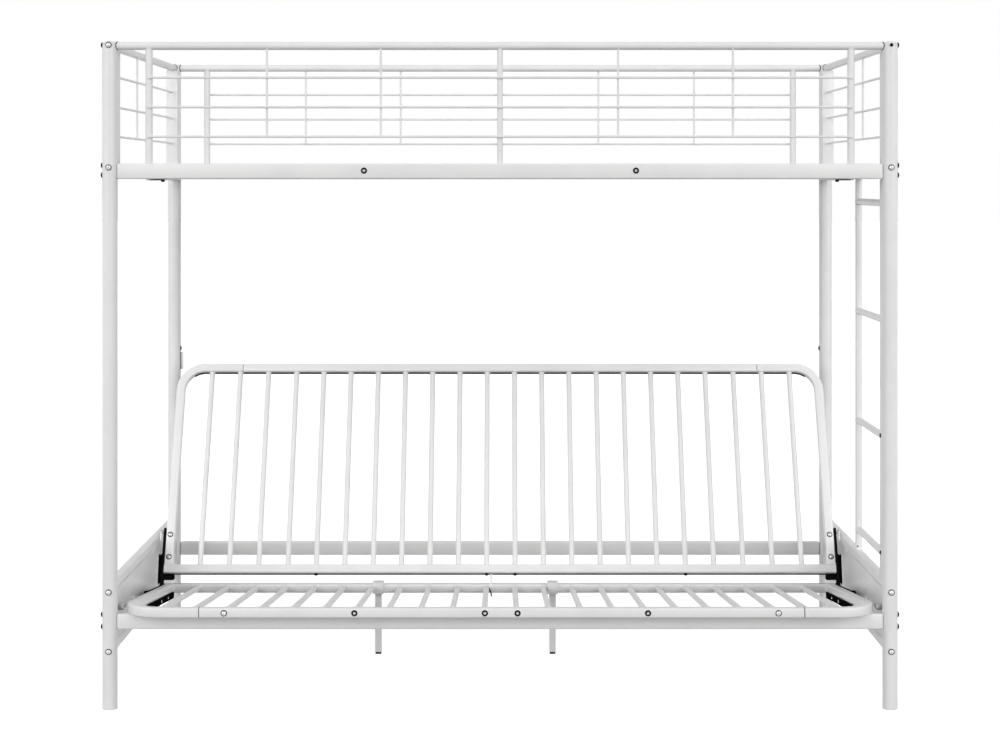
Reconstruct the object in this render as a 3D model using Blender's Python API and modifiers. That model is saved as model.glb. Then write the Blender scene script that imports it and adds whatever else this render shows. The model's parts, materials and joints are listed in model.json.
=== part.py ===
"""White metal futon bunk bed: an upper bunk on four round posts over a folding futon.

Metres, +Z up. The origin is on the floor under the middle of the whole object,
+X runs along the bed and the front faces -Y. Depths are counted from the axes of
the front posts towards the rear posts, and heights from the floor.
"""

import math

import bmesh
import bpy
from mathutils import Matrix, Vector

# Clearances
GAP = 0.0003
OVERRUN = 0.004
WELD_SINK = 0.0014

# Posts
POST_SPAN_X = 1.943
POST_SPAN_Y = 1.020
POST_DIAMETER = 0.038
POST_WALL = 0.0016
POST_TOP = 1.6545
POST_SOLE = 0.004
CAP_DOME = 0.0077
CAP_PLUG = 0.016
CAP_PLUG_WALL = 0.0025
CAP_DOME_SHARES = ((0, 1), (0.45, 0.88), (0.8, 0.55), (1, 0.15))

# Bunk rails
RAIL_HEIGHT = 0.038
RAIL_DEPTH = 0.025
RAIL_WALL = 0.0016
UPPER_RAIL_BOTTOM = 1.319
LOWER_RAIL_BOTTOM = 0.1995

# Guards
GUARD_TUBE_DIAMETER = 0.020
GUARD_TOP_AXIS = 1.650
GUARD_END_UPRIGHT_X = 0.874
GUARD_END_UPRIGHT_DIAMETER = 0.018
GUARD_MID_UPRIGHT_DIAMETER = 0.014
GUARD_WIRE_DIAMETER = 0.006
GUARD_ROD_DIAMETER = 0.0055
GUARD_WIRE_TOP = 1.571
GUARD_WIRE_PITCH = 0.0735
GUARD_WIRE_COUNT = 3
GUARD_WIRE_TAIL = 0.003
GUARD_ROD_SHARES = (-2 / 3, -1 / 3, 1 / 3, 2 / 3)
END_ROD_OFFSET = 0.126
END_STRIP_WIDTH = 0.034
END_STRIP_DEPTH = 0.030

# Upper mattress deck
DECK_TOP = 1.345
DECK_BAR_HEIGHT = 0.021
DECK_BAR_WIDTH = 0.020
DECK_SLAT_WIDTH = 0.030
DECK_SLAT_THICKNESS = 0.010
DECK_SLAT_COUNT = 14
DECK_INSET = 0.018
BRACKET_LENGTH = 0.088
BRACKET_WIDTH = 0.040
BRACKET_THICKNESS = 0.003

# Lower end panels
PANEL_BOTTOM = 0.122
PANEL_TOP = 0.315
PANEL_THICKNESS = 0.021
PANEL_BORDER = 0.022
PANEL_RECESS = 0.004
PANEL_CORNER_RADIUS = 0.030

# Ladder
LADDER_REAR_DEPTH = 0.450
LADDER_TUBE_DIAMETER = 0.018
LADDER_RUNG_TOP = 1.258
LADDER_RUNG_PITCH = 0.2955
LADDER_RUNG_COUNT = 4

# Futon seat
FUTON_TUBE_WIDTH = 0.024
FUTON_TUBE_CORNER = 0.0035
FUTON_TUBE_WALL = 0.0015
SEAT_FRONT_OVERHANG = 0.050
SEAT_FRONT_HEIGHT = 0.250
SEAT_REAR_DEPTH = 0.600
SEAT_REAR_HEIGHT = 0.182
SEAT_HALF_WIDTH = 0.930
SEAT_CORNER_RADIUS = 0.075
SEAT_LEVEL_DEPTH = 0.033
SEAM_X = 0.747
SLAT_DIAMETER = 0.015
SEAT_SLAT_LIFT = 0.004
SEAT_SLAT_SETBACK = 0.0018
SLAT_PITCH = 0.0803
SLAT_COUNT = 22

# Mid legs under the seat's rear rail
MID_LEG_LEFT_X = -0.338
MID_LEG_RIGHT_X = 0.146
MID_LEG_WIDTH = 0.018
MID_LEG_CLAMP_WIDTH = 0.029
MID_LEG_CLAMP_DEPTH = 0.034
MID_LEG_CLAMP_DROP = 0.0144
MID_LEG_CLAMP_RISE = 0.0176
MID_LEG_FOOT_HEIGHT = 0.0055
MID_LEG_FOOT_INSET = 0.0012

# Futon back
BACK_BOTTOM_DEPTH = 0.614
BACK_BOTTOM_HEIGHT = 0.231
BACK_TOP_DEPTH = 0.874
BACK_TOP_HEIGHT = 0.767
BACK_HALF_WIDTH = 0.940
BACK_CORNER_RADIUS = 0.068

# Fold mechanism
PLATE_THICKNESS = 0.003
FOLD_PIVOT_SETBACK = 0.0094
LEVEL_PIVOT_DEPTH = 0.375
SEAT_ARM_FRONT_DEPTH = 0.305
SEAT_ARM_HALF_HEIGHT = 0.013
INNER_PLATE_FRONT_DEPTH = 0.155
INNER_PLATE_REAR_DEPTH = 0.578
INNER_PLATE_TOP_DROP = 0.003
INNER_PLATE_DROP = 0.0265
INNER_PLATE_FRONT_DROP = 0.0115
INNER_PLATE_TAPER_DEPTH = 0.300
INNER_PLATE_HOLE_RADIUS = 0.004
INNER_PLATE_HOLE_SHARES = (0.49, 0.75)
BACK_ARM_HALF_WIDTH = 0.012
BACK_ARM_LENGTH = 0.160
BACK_ARM_FOOT_INSET = 0.030
BACK_ARM_FOOT_REACH = 0.024
BACK_ARM_FOOT_HEIGHT = 0.013
BACK_ARM_FOOT_SETBACK = 0.005
LINK_HALF_WIDTH = 0.007
LINK_THICKNESS = 0.0025
LINK_RIVET_RADIUS = 0.006
LINK_RIVET_HEIGHT = 0.0018
LINK_FOOT_DEPTH = 0.6106
LINK_FOOT_HEIGHT = 0.132
LAYER_GAP = 0.0004
PIVOT_RADIUS = 0.005
PIVOT_SHOULDER_RADIUS = 0.009
PIVOT_HEAD_RADIUS = 0.008
PIVOT_HEAD_HEIGHT = 0.0022
PIVOT_CLEARANCE = 0.0001

# Seat slide on the end panels
SLIDE_ANGLE = math.radians(11.0)
SLIDE_BAR_HALF_HEIGHT = 0.010
SLIDE_BAR_TAIL = 0.282
SLIDE_SHOE_RUNS = (0.060, 0.240)
SLIDE_SHOE_LENGTH = 0.040
TRACK_FRONT_DEPTH = 0.125
TRACK_REAR_DEPTH = 0.665
TRACK_HEIGHT = 0.024
TRACK_WALL = 0.002
TRACK_FLANGE = 0.0095
TRACK_BOSS_RADIUS = 0.006
TRACK_BOSS_SHARES = (0.08, 0.92)

# Bolts that stand furthest out of the frame
BOLT_RADIUS = 0.004
BOLT_HEAD_RADIUS = 0.007
BOLT_HEAD_HEIGHT = 0.0045
BOLT_SHANK = 0.012
BOLT_HEAD_SHARES = ((0, 1), (0.62, 0.86), (0.92, 0.45), (1, 0))
POST_BOLT_HEIGHT = 0.2345
SEAT_BOLT_X_PITCHES = -0.5

# Colours
PAINT = ((0.80, 0.80, 0.79), 0.38, 0.0)
BLACK_STEEL = ((0.012, 0.012, 0.013), 0.42, 0.6)
ZINC = ((0.52, 0.52, 0.53), 0.30, 1.0)
BLACK_PLASTIC = ((0.010, 0.010, 0.011), 0.55, 0.0)

# Worked-out sizes
POST_RADIUS = POST_DIAMETER / 2
POST_X = POST_SPAN_X / 2
FUTON_HALF = FUTON_TUBE_WIDTH / 2
GUARD_RADIUS = GUARD_TUBE_DIAMETER / 2
WIRE_RADIUS = GUARD_WIRE_DIAMETER / 2
ROD_RADIUS = GUARD_ROD_DIAMETER / 2
BOLT_STAND = BOLT_HEAD_HEIGHT + GAP
FRONT_REACH = SEAT_FRONT_OVERHANG + FUTON_HALF + BOLT_STAND
REAR_REACH = POST_SPAN_Y + POST_RADIUS + BOLT_STAND
FRONT_Y = (FRONT_REACH - REAR_REACH) / 2
UPPER_RAIL_TOP = UPPER_RAIL_BOTTOM + RAIL_HEIGHT
LOWER_RAIL_TOP = LOWER_RAIL_BOTTOM + RAIL_HEIGHT
RAIL_END_X = POST_X - POST_RADIUS - GAP
END_FRONT_DEPTH = POST_RADIUS + GAP
END_REAR_DEPTH = POST_SPAN_Y - POST_RADIUS - GAP
SEAT_SIDE_X = SEAT_HALF_WIDTH - FUTON_HALF
BACK_SIDE_X = BACK_HALF_WIDTH - FUTON_HALF
SEAT_SLOPE = (SEAT_FRONT_HEIGHT - SEAT_REAR_HEIGHT) / (SEAT_REAR_DEPTH - SEAT_LEVEL_DEPTH)
PANEL_INNER_X = POST_X - PANEL_THICKNESS / 2
BACK_RUN = BACK_TOP_DEPTH - BACK_BOTTOM_DEPTH
BACK_RISE = BACK_TOP_HEIGHT - BACK_BOTTOM_HEIGHT
BACK_LENGTH = math.hypot(BACK_RUN, BACK_RISE)
BACK_ANGLE = math.atan2(BACK_RISE, BACK_RUN)

# Layers of the mechanism, outwards from the seat's side tubes
ARM_X = SEAT_HALF_WIDTH + GAP + PLATE_THICKNESS / 2
BACK_ARM_X = BACK_HALF_WIDTH + GAP + PLATE_THICKNESS / 2
BACK_ARM_OUT = BACK_ARM_X + PLATE_THICKNESS / 2
LINK_X = BACK_ARM_OUT + LAYER_GAP + LINK_THICKNESS / 2
LINK_OUT = LINK_X + LINK_THICKNESS / 2
SLIDE_BAR_X = LINK_OUT + LAYER_GAP + PLATE_THICKNESS / 2
TRACK_WEB_X = PANEL_INNER_X - GAP
TRACK_BACK_X = PANEL_INNER_X + PANEL_RECESS - GAP
INNER_PLATE_X = SEAT_HALF_WIDTH - FUTON_TUBE_WIDTH - GAP - PLATE_THICKNESS / 2

SIDES = {"left": -1, "right": 1}


def make_collection(name):
    """Make a collection in the scene."""
    group = bpy.data.collections.new(name)
    bpy.context.scene.collection.children.link(group)
    return group


def clear_scene():
    """Remove every object that the file opened with."""
    for item in list(bpy.data.objects):
        bpy.data.objects.remove(item, do_unlink=True)


clear_scene()
PARTS = make_collection("futon_bunk_bed")
CUTTERS = make_collection("cutters")


def place(depth, height, x):
    """Turn a depth behind the front posts, a height and an x into a point."""
    return Vector((x, FRONT_Y + depth, height))


def seat_tube_height(depth):
    """Height of a seat side tube's axis: level at the front corner, then sloping down."""
    return SEAT_FRONT_HEIGHT - max(depth - SEAT_LEVEL_DEPTH, 0) * SEAT_SLOPE


def finish(item, look):
    """Give an object a material of its own."""
    colour, roughness, metallic = look
    material = bpy.data.materials.new(item.name)
    material.use_nodes = True
    shader = material.node_tree.nodes["Principled BSDF"]
    shader.inputs["Base Color"].default_value = (*colour, 1.0)
    shader.inputs["Roughness"].default_value = roughness
    shader.inputs["Metallic"].default_value = metallic
    item.data.materials.clear()
    item.data.materials.append(material)
    return item


def add_object(name, mesh, is_cutter):
    """Link a mesh as a part, or as a hidden cutter."""
    item = bpy.data.objects.new(name, mesh)
    if is_cutter:
        CUTTERS.objects.link(item)
        item.hide_render = True
        item.display_type = "WIRE"
    else:
        PARTS.objects.link(item)
    return item


def smooth(mesh):
    """Shade a round piece smooth and keep its rims sharp."""
    mesh.shade_smooth()
    mesh.set_sharp_from_angle(angle=math.radians(40))


def bar(name, start, end, radius, sides=12, wall=0.0, is_cutter=False):
    """A straight round bar between two points, or a tube with open ends if it has a wall."""
    shape = bmesh.new()
    length = (end - start).length
    bmesh.ops.create_cone(
        shape, cap_ends=wall == 0, segments=sides, radius1=radius, radius2=radius, depth=length
    )
    mesh = bpy.data.meshes.new(name)
    shape.to_mesh(mesh)
    shape.free()
    smooth(mesh)
    item = add_object(name, mesh, is_cutter)
    item.location = (start + end) / 2
    item.rotation_mode = "QUATERNION"
    item.rotation_quaternion = (end - start).to_track_quat("Z", "Y")
    if wall > 0:
        thicken(item, wall)
    return item


def thicken(item, wall):
    """Give an open surface its wall, grown inwards."""
    shell = item.modifiers.new("wall", "SOLIDIFY")
    shell.thickness = wall
    shell.offset = -1
    shell.use_even_offset = True


def block(name, low, high, is_cutter=False):
    """A solid block between two corners."""
    shape = bmesh.new()
    bmesh.ops.create_cube(shape, size=1)
    bmesh.ops.scale(shape, vec=high - low, verts=shape.verts)
    mesh = bpy.data.meshes.new(name)
    shape.to_mesh(mesh)
    shape.free()
    item = add_object(name, mesh, is_cutter)
    item.location = (low + high) / 2
    return item


def box_tube(name, low, high, axis, wall):
    """A rectangular tube between two corners, with open ends across one axis."""
    item = block(name, low, high)
    shape = bmesh.new()
    shape.from_mesh(item.data)
    ends = [face for face in shape.faces if abs(face.normal[axis]) > abs(face.normal[axis - 1])
            and abs(face.normal[axis]) > abs(face.normal[axis - 2])]
    bmesh.ops.delete(shape, geom=ends, context="FACES_ONLY")
    shape.to_mesh(item.data)
    shape.free()
    thicken(item, wall)
    return item


def rounded_square(half, corner):
    """Points round a square with round corners, two steps to a corner."""
    points = []
    for number, (across, up) in enumerate(((1, 1), (-1, 1), (-1, -1), (1, -1))):
        for step in range(3):
            turn = math.pi / 2 * (number + step / 2)
            points.append((across * (half - corner) + corner * math.cos(turn),
                           up * (half - corner) + corner * math.sin(turn)))
    return points


def square_tube(name, points, wall=0.0):
    """A square tube that follows a list of points, solid with closed ends if it has no wall."""
    section = bpy.data.curves.new(name + "_section", "CURVE")
    section.dimensions = "2D"
    corners = rounded_square(FUTON_HALF, FUTON_TUBE_CORNER)
    line = section.splines.new("POLY")
    line.points.add(len(corners) - 1)
    line.use_cyclic_u = True
    for slot, (across, up) in zip(line.points, corners):
        slot.co = (across, up, 0, 1)
    outline = bpy.data.objects.new(name + "_section", section)
    CUTTERS.objects.link(outline)
    curve = bpy.data.curves.new(name, "CURVE")
    curve.dimensions = "3D"
    curve.twist_mode = "Z_UP"
    curve.bevel_mode = "OBJECT"
    curve.bevel_object = outline
    curve.use_fill_caps = wall == 0
    line = curve.splines.new("POLY")
    line.points.add(len(points) - 1)
    for slot, point in zip(line.points, points):
        slot.co = (*point, 1)
    guide = bpy.data.objects.new(name + "_route", curve)
    CUTTERS.objects.link(guide)
    bpy.context.view_layer.update()
    graph = bpy.context.evaluated_depsgraph_get()
    mesh = bpy.data.meshes.new_from_object(guide.evaluated_get(graph))
    mesh.name = name
    bpy.data.objects.remove(guide, do_unlink=True)
    bpy.data.objects.remove(outline, do_unlink=True)
    shape = bmesh.new()
    shape.from_mesh(mesh)
    bmesh.ops.remove_doubles(shape, verts=shape.verts, dist=GAP / 10)
    bmesh.ops.recalc_face_normals(shape, faces=shape.faces)
    shape.to_mesh(mesh)
    shape.free()
    smooth(mesh)
    item = add_object(name, mesh, False)
    if wall > 0:
        thicken(item, wall)
    return item


def plate(name, outline, holes, thickness, x, is_cutter=False):
    """A flat plate across X, from an outline and holes given as depth and height pairs."""
    curve = bpy.data.curves.new(name, "CURVE")
    curve.dimensions = "2D"
    curve.fill_mode = "BOTH"
    curve.extrude = thickness / 2
    for loop in [outline] + holes:
        line = curve.splines.new("POLY")
        line.points.add(len(loop) - 1)
        line.use_cyclic_u = True
        for slot, (depth, height) in zip(line.points, loop):
            slot.co = (FRONT_Y + depth, height, 0, 1)
    guide = bpy.data.objects.new(name + "_outline", curve)
    CUTTERS.objects.link(guide)
    bpy.context.view_layer.update()
    graph = bpy.context.evaluated_depsgraph_get()
    mesh = bpy.data.meshes.new_from_object(guide.evaluated_get(graph))
    mesh.name = name
    bpy.data.objects.remove(guide, do_unlink=True)
    shape = bmesh.new()
    shape.from_mesh(mesh)
    bmesh.ops.remove_doubles(shape, verts=shape.verts, dist=GAP / 10)
    turn = Matrix(((0, 0, 1, 0), (1, 0, 0, 0), (0, 1, 0, 0), (0, 0, 0, 1)))
    bmesh.ops.transform(shape, matrix=turn, verts=shape.verts)
    bmesh.ops.recalc_face_normals(shape, faces=shape.faces)
    shape.to_mesh(mesh)
    shape.free()
    item = add_object(name, mesh, is_cutter)
    item.location.x = x
    return item


def circle(centre, radius, count=24):
    """Points round a circle in depth and height."""
    points = []
    for step in range(count):
        turn = math.tau * step / count
        points.append((centre[0] + radius * math.cos(turn), centre[1] + radius * math.sin(turn)))
    return points


def stadium(start, end, radius, count=8):
    """Outline of a flat link with round ends between two centres."""
    heading = math.atan2(end[1] - start[1], end[0] - start[0])
    points = []
    for centre, first in ((end, heading - math.pi / 2), (start, heading + math.pi / 2)):
        for step in range(count + 1):
            turn = first + math.pi * step / count
            points.append((centre[0] + radius * math.cos(turn), centre[1] + radius * math.sin(turn)))
    return points


def turned(name, profile, base, direction, steps=20, is_cutter=False):
    """A solid of revolution from radius and height pairs, standing on a base point."""
    mesh = bpy.data.meshes.new(name)
    edges = [(index, index + 1) for index in range(len(profile) - 1)]
    mesh.from_pydata([(radius, 0, height) for radius, height in profile], edges, [])
    item = add_object(name, mesh, is_cutter)
    item.location = base
    item.rotation_mode = "QUATERNION"
    item.rotation_quaternion = direction.to_track_quat("Z", "Y")
    screw = item.modifiers.new("turn", "SCREW")
    screw.axis = "Z"
    screw.steps = steps
    screw.render_steps = steps
    screw.use_merge_vertices = True
    screw.merge_threshold = GAP / 10
    screw.use_smooth_shade = True
    return item


def boolean(item, tools, operation):
    """Join or cut an object with a group of hidden tools."""
    group = bpy.data.collections.new(item.name + "_" + operation.lower())
    CUTTERS.children.link(group)
    for tool in tools:
        CUTTERS.objects.unlink(tool)
        group.objects.link(tool)
    change = item.modifiers.new(operation.lower(), "BOOLEAN")
    change.operation = operation
    change.solver = "EXACT"
    change.operand_type = "COLLECTION"
    change.collection = group
    return item


def post_cutter(name, depth, x):
    """The round space of a post, with its clearance."""
    return bar(name, place(depth, -OVERRUN, x), place(depth, POST_TOP + CAP_DOME, x),
               POST_RADIUS + GAP, 24, is_cutter=True)


def make_posts():
    """Four tube posts with a closed sole, each with a domed plug in its top."""
    inner = POST_RADIUS - POST_WALL
    profile = [
        (0, POST_SOLE), (inner, POST_SOLE), (inner, POST_TOP),
        (POST_RADIUS, POST_TOP), (POST_RADIUS, 0), (0, 0),
    ]
    for end, depth in {"front": 0, "rear": POST_SPAN_Y}.items():
        for side, sign in SIDES.items():
            post = turned(f"post_{end}_{side}", profile, place(depth, 0, sign * POST_X),
                          Vector((0, 0, 1)), 24)
            finish(post, PAINT)
            make_cap(f"post_cap_{end}_{side}", depth, sign)


def make_cap(name, depth, sign):
    """A domed cap whose hollow plug sits inside the post."""
    plug = POST_RADIUS - POST_WALL - GAP
    profile = [(POST_RADIUS * out, CAP_DOME * up) for out, up in CAP_DOME_SHARES]
    profile += [
        (POST_RADIUS, 0), (plug, 0), (plug, -CAP_PLUG), (plug - CAP_PLUG_WALL, -CAP_PLUG),
        (plug - CAP_PLUG_WALL, -CAP_PLUG_WALL), (0, -CAP_PLUG_WALL),
    ]
    cap = turned(name, profile, place(depth, POST_TOP + GAP, sign * POST_X), Vector((0, 0, 1)), 24)
    finish(cap, PAINT)


def make_bunk_rails():
    """Side and end rails of the upper bunk, and the two lower rails under the futon."""
    half = RAIL_DEPTH / 2
    for end, depth in {"front": 0, "rear": POST_SPAN_Y}.items():
        for name, bottom in {"upper_side_rail": UPPER_RAIL_BOTTOM, "lower_rail": LOWER_RAIL_BOTTOM}.items():
            low = place(depth - half, bottom, -RAIL_END_X)
            high = place(depth + half, bottom + RAIL_HEIGHT, RAIL_END_X)
            finish(box_tube(f"{name}_{end}", low, high, 0, RAIL_WALL), PAINT)
    for side, sign in SIDES.items():
        low = place(END_FRONT_DEPTH, UPPER_RAIL_BOTTOM, sign * POST_X - half)
        high = place(END_REAR_DEPTH, UPPER_RAIL_TOP, sign * POST_X + half)
        finish(box_tube(f"upper_end_rail_{side}", low, high, 1, RAIL_WALL), PAINT)


def make_long_guard(end, depth, outward):
    """Front or rear guard: top tube, three uprights, thin rods and wires, welded into one."""
    name = f"guard_{end}"
    top = bar(name, place(depth, GUARD_TOP_AXIS, -POST_X), place(depth, GUARD_TOP_AXIS, POST_X),
              GUARD_RADIUS, 16)
    pieces = []
    foot = UPPER_RAIL_TOP + GAP
    uprights = {-GUARD_END_UPRIGHT_X: GUARD_END_UPRIGHT_DIAMETER, 0: GUARD_MID_UPRIGHT_DIAMETER,
                GUARD_END_UPRIGHT_X: GUARD_END_UPRIGHT_DIAMETER}
    for number, (x, diameter) in enumerate(uprights.items()):
        pieces.append(bar(f"{name}_upright_{number}", place(depth, foot, x),
                          place(depth, GUARD_TOP_AXIS, x), diameter / 2, 12, is_cutter=True))
    wire_depth = depth + outward * (GUARD_MID_UPRIGHT_DIAMETER / 2 + WIRE_RADIUS - WELD_SINK)
    rod_depth = wire_depth - outward * (WIRE_RADIUS + ROD_RADIUS - WELD_SINK)
    reach = GUARD_END_UPRIGHT_X + GUARD_WIRE_TAIL
    for number in range(GUARD_WIRE_COUNT):
        height = GUARD_WIRE_TOP - number * GUARD_WIRE_PITCH
        pieces.append(bar(f"{name}_wire_{number}", place(wire_depth, height, -reach),
                          place(wire_depth, height, reach), WIRE_RADIUS, 8, is_cutter=True))
    rod_foot = GUARD_WIRE_TOP - (GUARD_WIRE_COUNT - 1) * GUARD_WIRE_PITCH - WIRE_RADIUS / 2
    for number, share in enumerate(GUARD_ROD_SHARES):
        x = GUARD_END_UPRIGHT_X * share
        pieces.append(bar(f"{name}_rod_{number}", place(rod_depth, rod_foot, x),
                          place(rod_depth, GUARD_TOP_AXIS, x), ROD_RADIUS, 8, is_cutter=True))
    boolean(top, pieces, "UNION")
    saddles = [post_cutter(f"{name}_saddle_{side}", depth, sign * POST_X)
               for side, sign in SIDES.items()]
    finish(boolean(top, saddles, "DIFFERENCE"), PAINT)


def make_end_guard(side, sign):
    """End guard: top tube, a strip beside each post, two rods and three wires."""
    name = f"guard_end_{side}"
    x = sign * POST_X
    top = bar(name, place(0, GUARD_TOP_AXIS, x), place(POST_SPAN_Y, GUARD_TOP_AXIS, x),
              GUARD_RADIUS, 16)
    pieces = []
    foot = UPPER_RAIL_TOP + GAP
    half = END_STRIP_WIDTH / 2
    strip_top = GUARD_TOP_AXIS - GUARD_RADIUS + WELD_SINK
    starts = {"front": END_FRONT_DEPTH, "rear": END_REAR_DEPTH - END_STRIP_DEPTH}
    for end, depth in starts.items():
        pieces.append(block(f"{name}_strip_{end}", place(depth, foot, x - half),
                            place(depth + END_STRIP_DEPTH, strip_top, x + half), is_cutter=True))
    first = END_FRONT_DEPTH + END_STRIP_DEPTH - WELD_SINK
    last = END_REAR_DEPTH - END_STRIP_DEPTH + WELD_SINK
    for number in range(GUARD_WIRE_COUNT):
        height = GUARD_WIRE_TOP - number * GUARD_WIRE_PITCH
        pieces.append(bar(f"{name}_wire_{number}", place(first, height, x),
                          place(last, height, x), WIRE_RADIUS, 8, is_cutter=True))
    rod_x = x - sign * (WIRE_RADIUS + ROD_RADIUS - WELD_SINK)
    rod_foot = GUARD_WIRE_TOP - (GUARD_WIRE_COUNT - 1) * GUARD_WIRE_PITCH - WIRE_RADIUS / 2
    for number, offset in enumerate((-END_ROD_OFFSET, END_ROD_OFFSET)):
        depth = POST_SPAN_Y / 2 + offset
        pieces.append(bar(f"{name}_rod_{number}", place(depth, rod_foot, rod_x),
                          place(depth, GUARD_TOP_AXIS, rod_x), ROD_RADIUS, 8, is_cutter=True))
    boolean(top, pieces, "UNION")
    saddles = [post_cutter(f"{name}_saddle_{end}", depth, x)
               for end, depth in {"front": 0, "rear": POST_SPAN_Y}.items()]
    finish(boolean(top, saddles, "DIFFERENCE"), PAINT)


def make_deck():
    """Slat deck of the upper bunk, with a bracket under each end rail."""
    edge = RAIL_DEPTH / 2 + GAP
    reach = RAIL_END_X - GAP
    bottom = DECK_TOP - DECK_SLAT_THICKNESS / 2 - DECK_BAR_HEIGHT
    seat = DECK_TOP - DECK_SLAT_THICKNESS / 2
    deck = block("slat_deck", place(edge, bottom, -reach), place(edge + DECK_BAR_WIDTH, seat, reach))
    pieces = [block("slat_deck_rear_bar", place(POST_SPAN_Y - edge - DECK_BAR_WIDTH, bottom, -reach),
                    place(POST_SPAN_Y - edge, seat, reach), is_cutter=True)]
    middle = POST_SPAN_Y / 2
    pieces.append(block("slat_deck_mid_bar", place(middle - DECK_BAR_WIDTH / 2, bottom, -reach),
                        place(middle + DECK_BAR_WIDTH / 2, seat, reach), is_cutter=True))
    first = reach - DECK_INSET - DECK_SLAT_WIDTH / 2
    for number in range(DECK_SLAT_COUNT):
        x = -first + number * 2 * first / (DECK_SLAT_COUNT - 1)
        low = place(edge + DECK_BAR_WIDTH / 4, DECK_TOP - DECK_SLAT_THICKNESS, x - DECK_SLAT_WIDTH / 2)
        high = place(POST_SPAN_Y - edge - DECK_BAR_WIDTH / 4, DECK_TOP, x + DECK_SLAT_WIDTH / 2)
        pieces.append(block(f"slat_deck_slat_{number}", low, high, is_cutter=True))
    finish(boolean(deck, pieces, "UNION"), PAINT)
    for side, sign in SIDES.items():
        outer = sign * (POST_X - RAIL_DEPTH / 4)
        inner = outer - sign * BRACKET_LENGTH
        low_x = min(outer, inner)
        high_x = max(outer, inner)
        top = UPPER_RAIL_BOTTOM - GAP
        low = place(middle - BRACKET_WIDTH / 2, top - BRACKET_THICKNESS, low_x)
        high = place(middle + BRACKET_WIDTH / 2, top, high_x)
        finish(block(f"deck_bracket_{side}", low, high), PAINT)


def make_end_panels():
    """Pressed end panels between the posts, with a sunk field on both faces."""
    for side, sign in SIDES.items():
        x = sign * POST_X
        half = PANEL_THICKNESS / 2
        panel = block(f"end_panel_{side}", place(END_FRONT_DEPTH, PANEL_BOTTOM, x - half),
                      place(END_REAR_DEPTH, PANEL_TOP, x + half))
        field = rounded_field()
        cutters = []
        for face in (-1, 1):
            cutters.append(plate(f"end_panel_{side}_field_{face + 1}", field, [], PANEL_RECESS * 2,
                                 x + face * half, is_cutter=True))
        finish(boolean(panel, cutters, "DIFFERENCE"), PAINT)


def rounded_field():
    """Outline of the panel's sunk field, a rectangle with round corners."""
    front = END_FRONT_DEPTH + PANEL_BORDER
    rear = END_REAR_DEPTH - PANEL_BORDER
    low = PANEL_BOTTOM + PANEL_BORDER
    high = PANEL_TOP - PANEL_BORDER
    radius = PANEL_CORNER_RADIUS
    corners = ((rear - radius, high - radius), (front + radius, high - radius),
               (front + radius, low + radius), (rear - radius, low + radius))
    points = []
    for number, (depth, height) in enumerate(corners):
        for step in range(5):
            turn = math.pi / 2 * (number + step / 4)
            points.append((depth + radius * math.cos(turn), height + radius * math.sin(turn)))
    return points


def make_ladder():
    """Ladder in the right end: a strip behind the front post, an upright and four rungs."""
    foot = PANEL_TOP + GAP
    head = UPPER_RAIL_BOTTOM - GAP
    half = END_STRIP_WIDTH / 2
    strip_back = END_FRONT_DEPTH + END_STRIP_DEPTH
    low = place(END_FRONT_DEPTH, foot, POST_X - half)
    high = place(strip_back, head, POST_X + half)
    finish(box_tube("ladder_front_upright", low, high, 2, RAIL_WALL), PAINT)
    radius = LADDER_TUBE_DIAMETER / 2
    rear = bar("ladder_rear_upright", place(LADDER_REAR_DEPTH, foot, POST_X),
               place(LADDER_REAR_DEPTH, head, POST_X), radius, 16, RAIL_WALL)
    finish(rear, PAINT)
    for number in range(LADDER_RUNG_COUNT):
        height = LADDER_RUNG_TOP - number * LADDER_RUNG_PITCH
        rung = bar(f"ladder_rung_{number + 1}", place(strip_back + GAP, height, POST_X),
                   place(LADDER_REAR_DEPTH - radius - GAP, height, POST_X), radius, 16, RAIL_WALL)
        finish(rung, PAINT)


def slat_places():
    """The x of each futon slat, evenly pitched about the middle."""
    return [(number - (SLAT_COUNT - 1) / 2) * SLAT_PITCH for number in range(SLAT_COUNT)]


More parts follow.
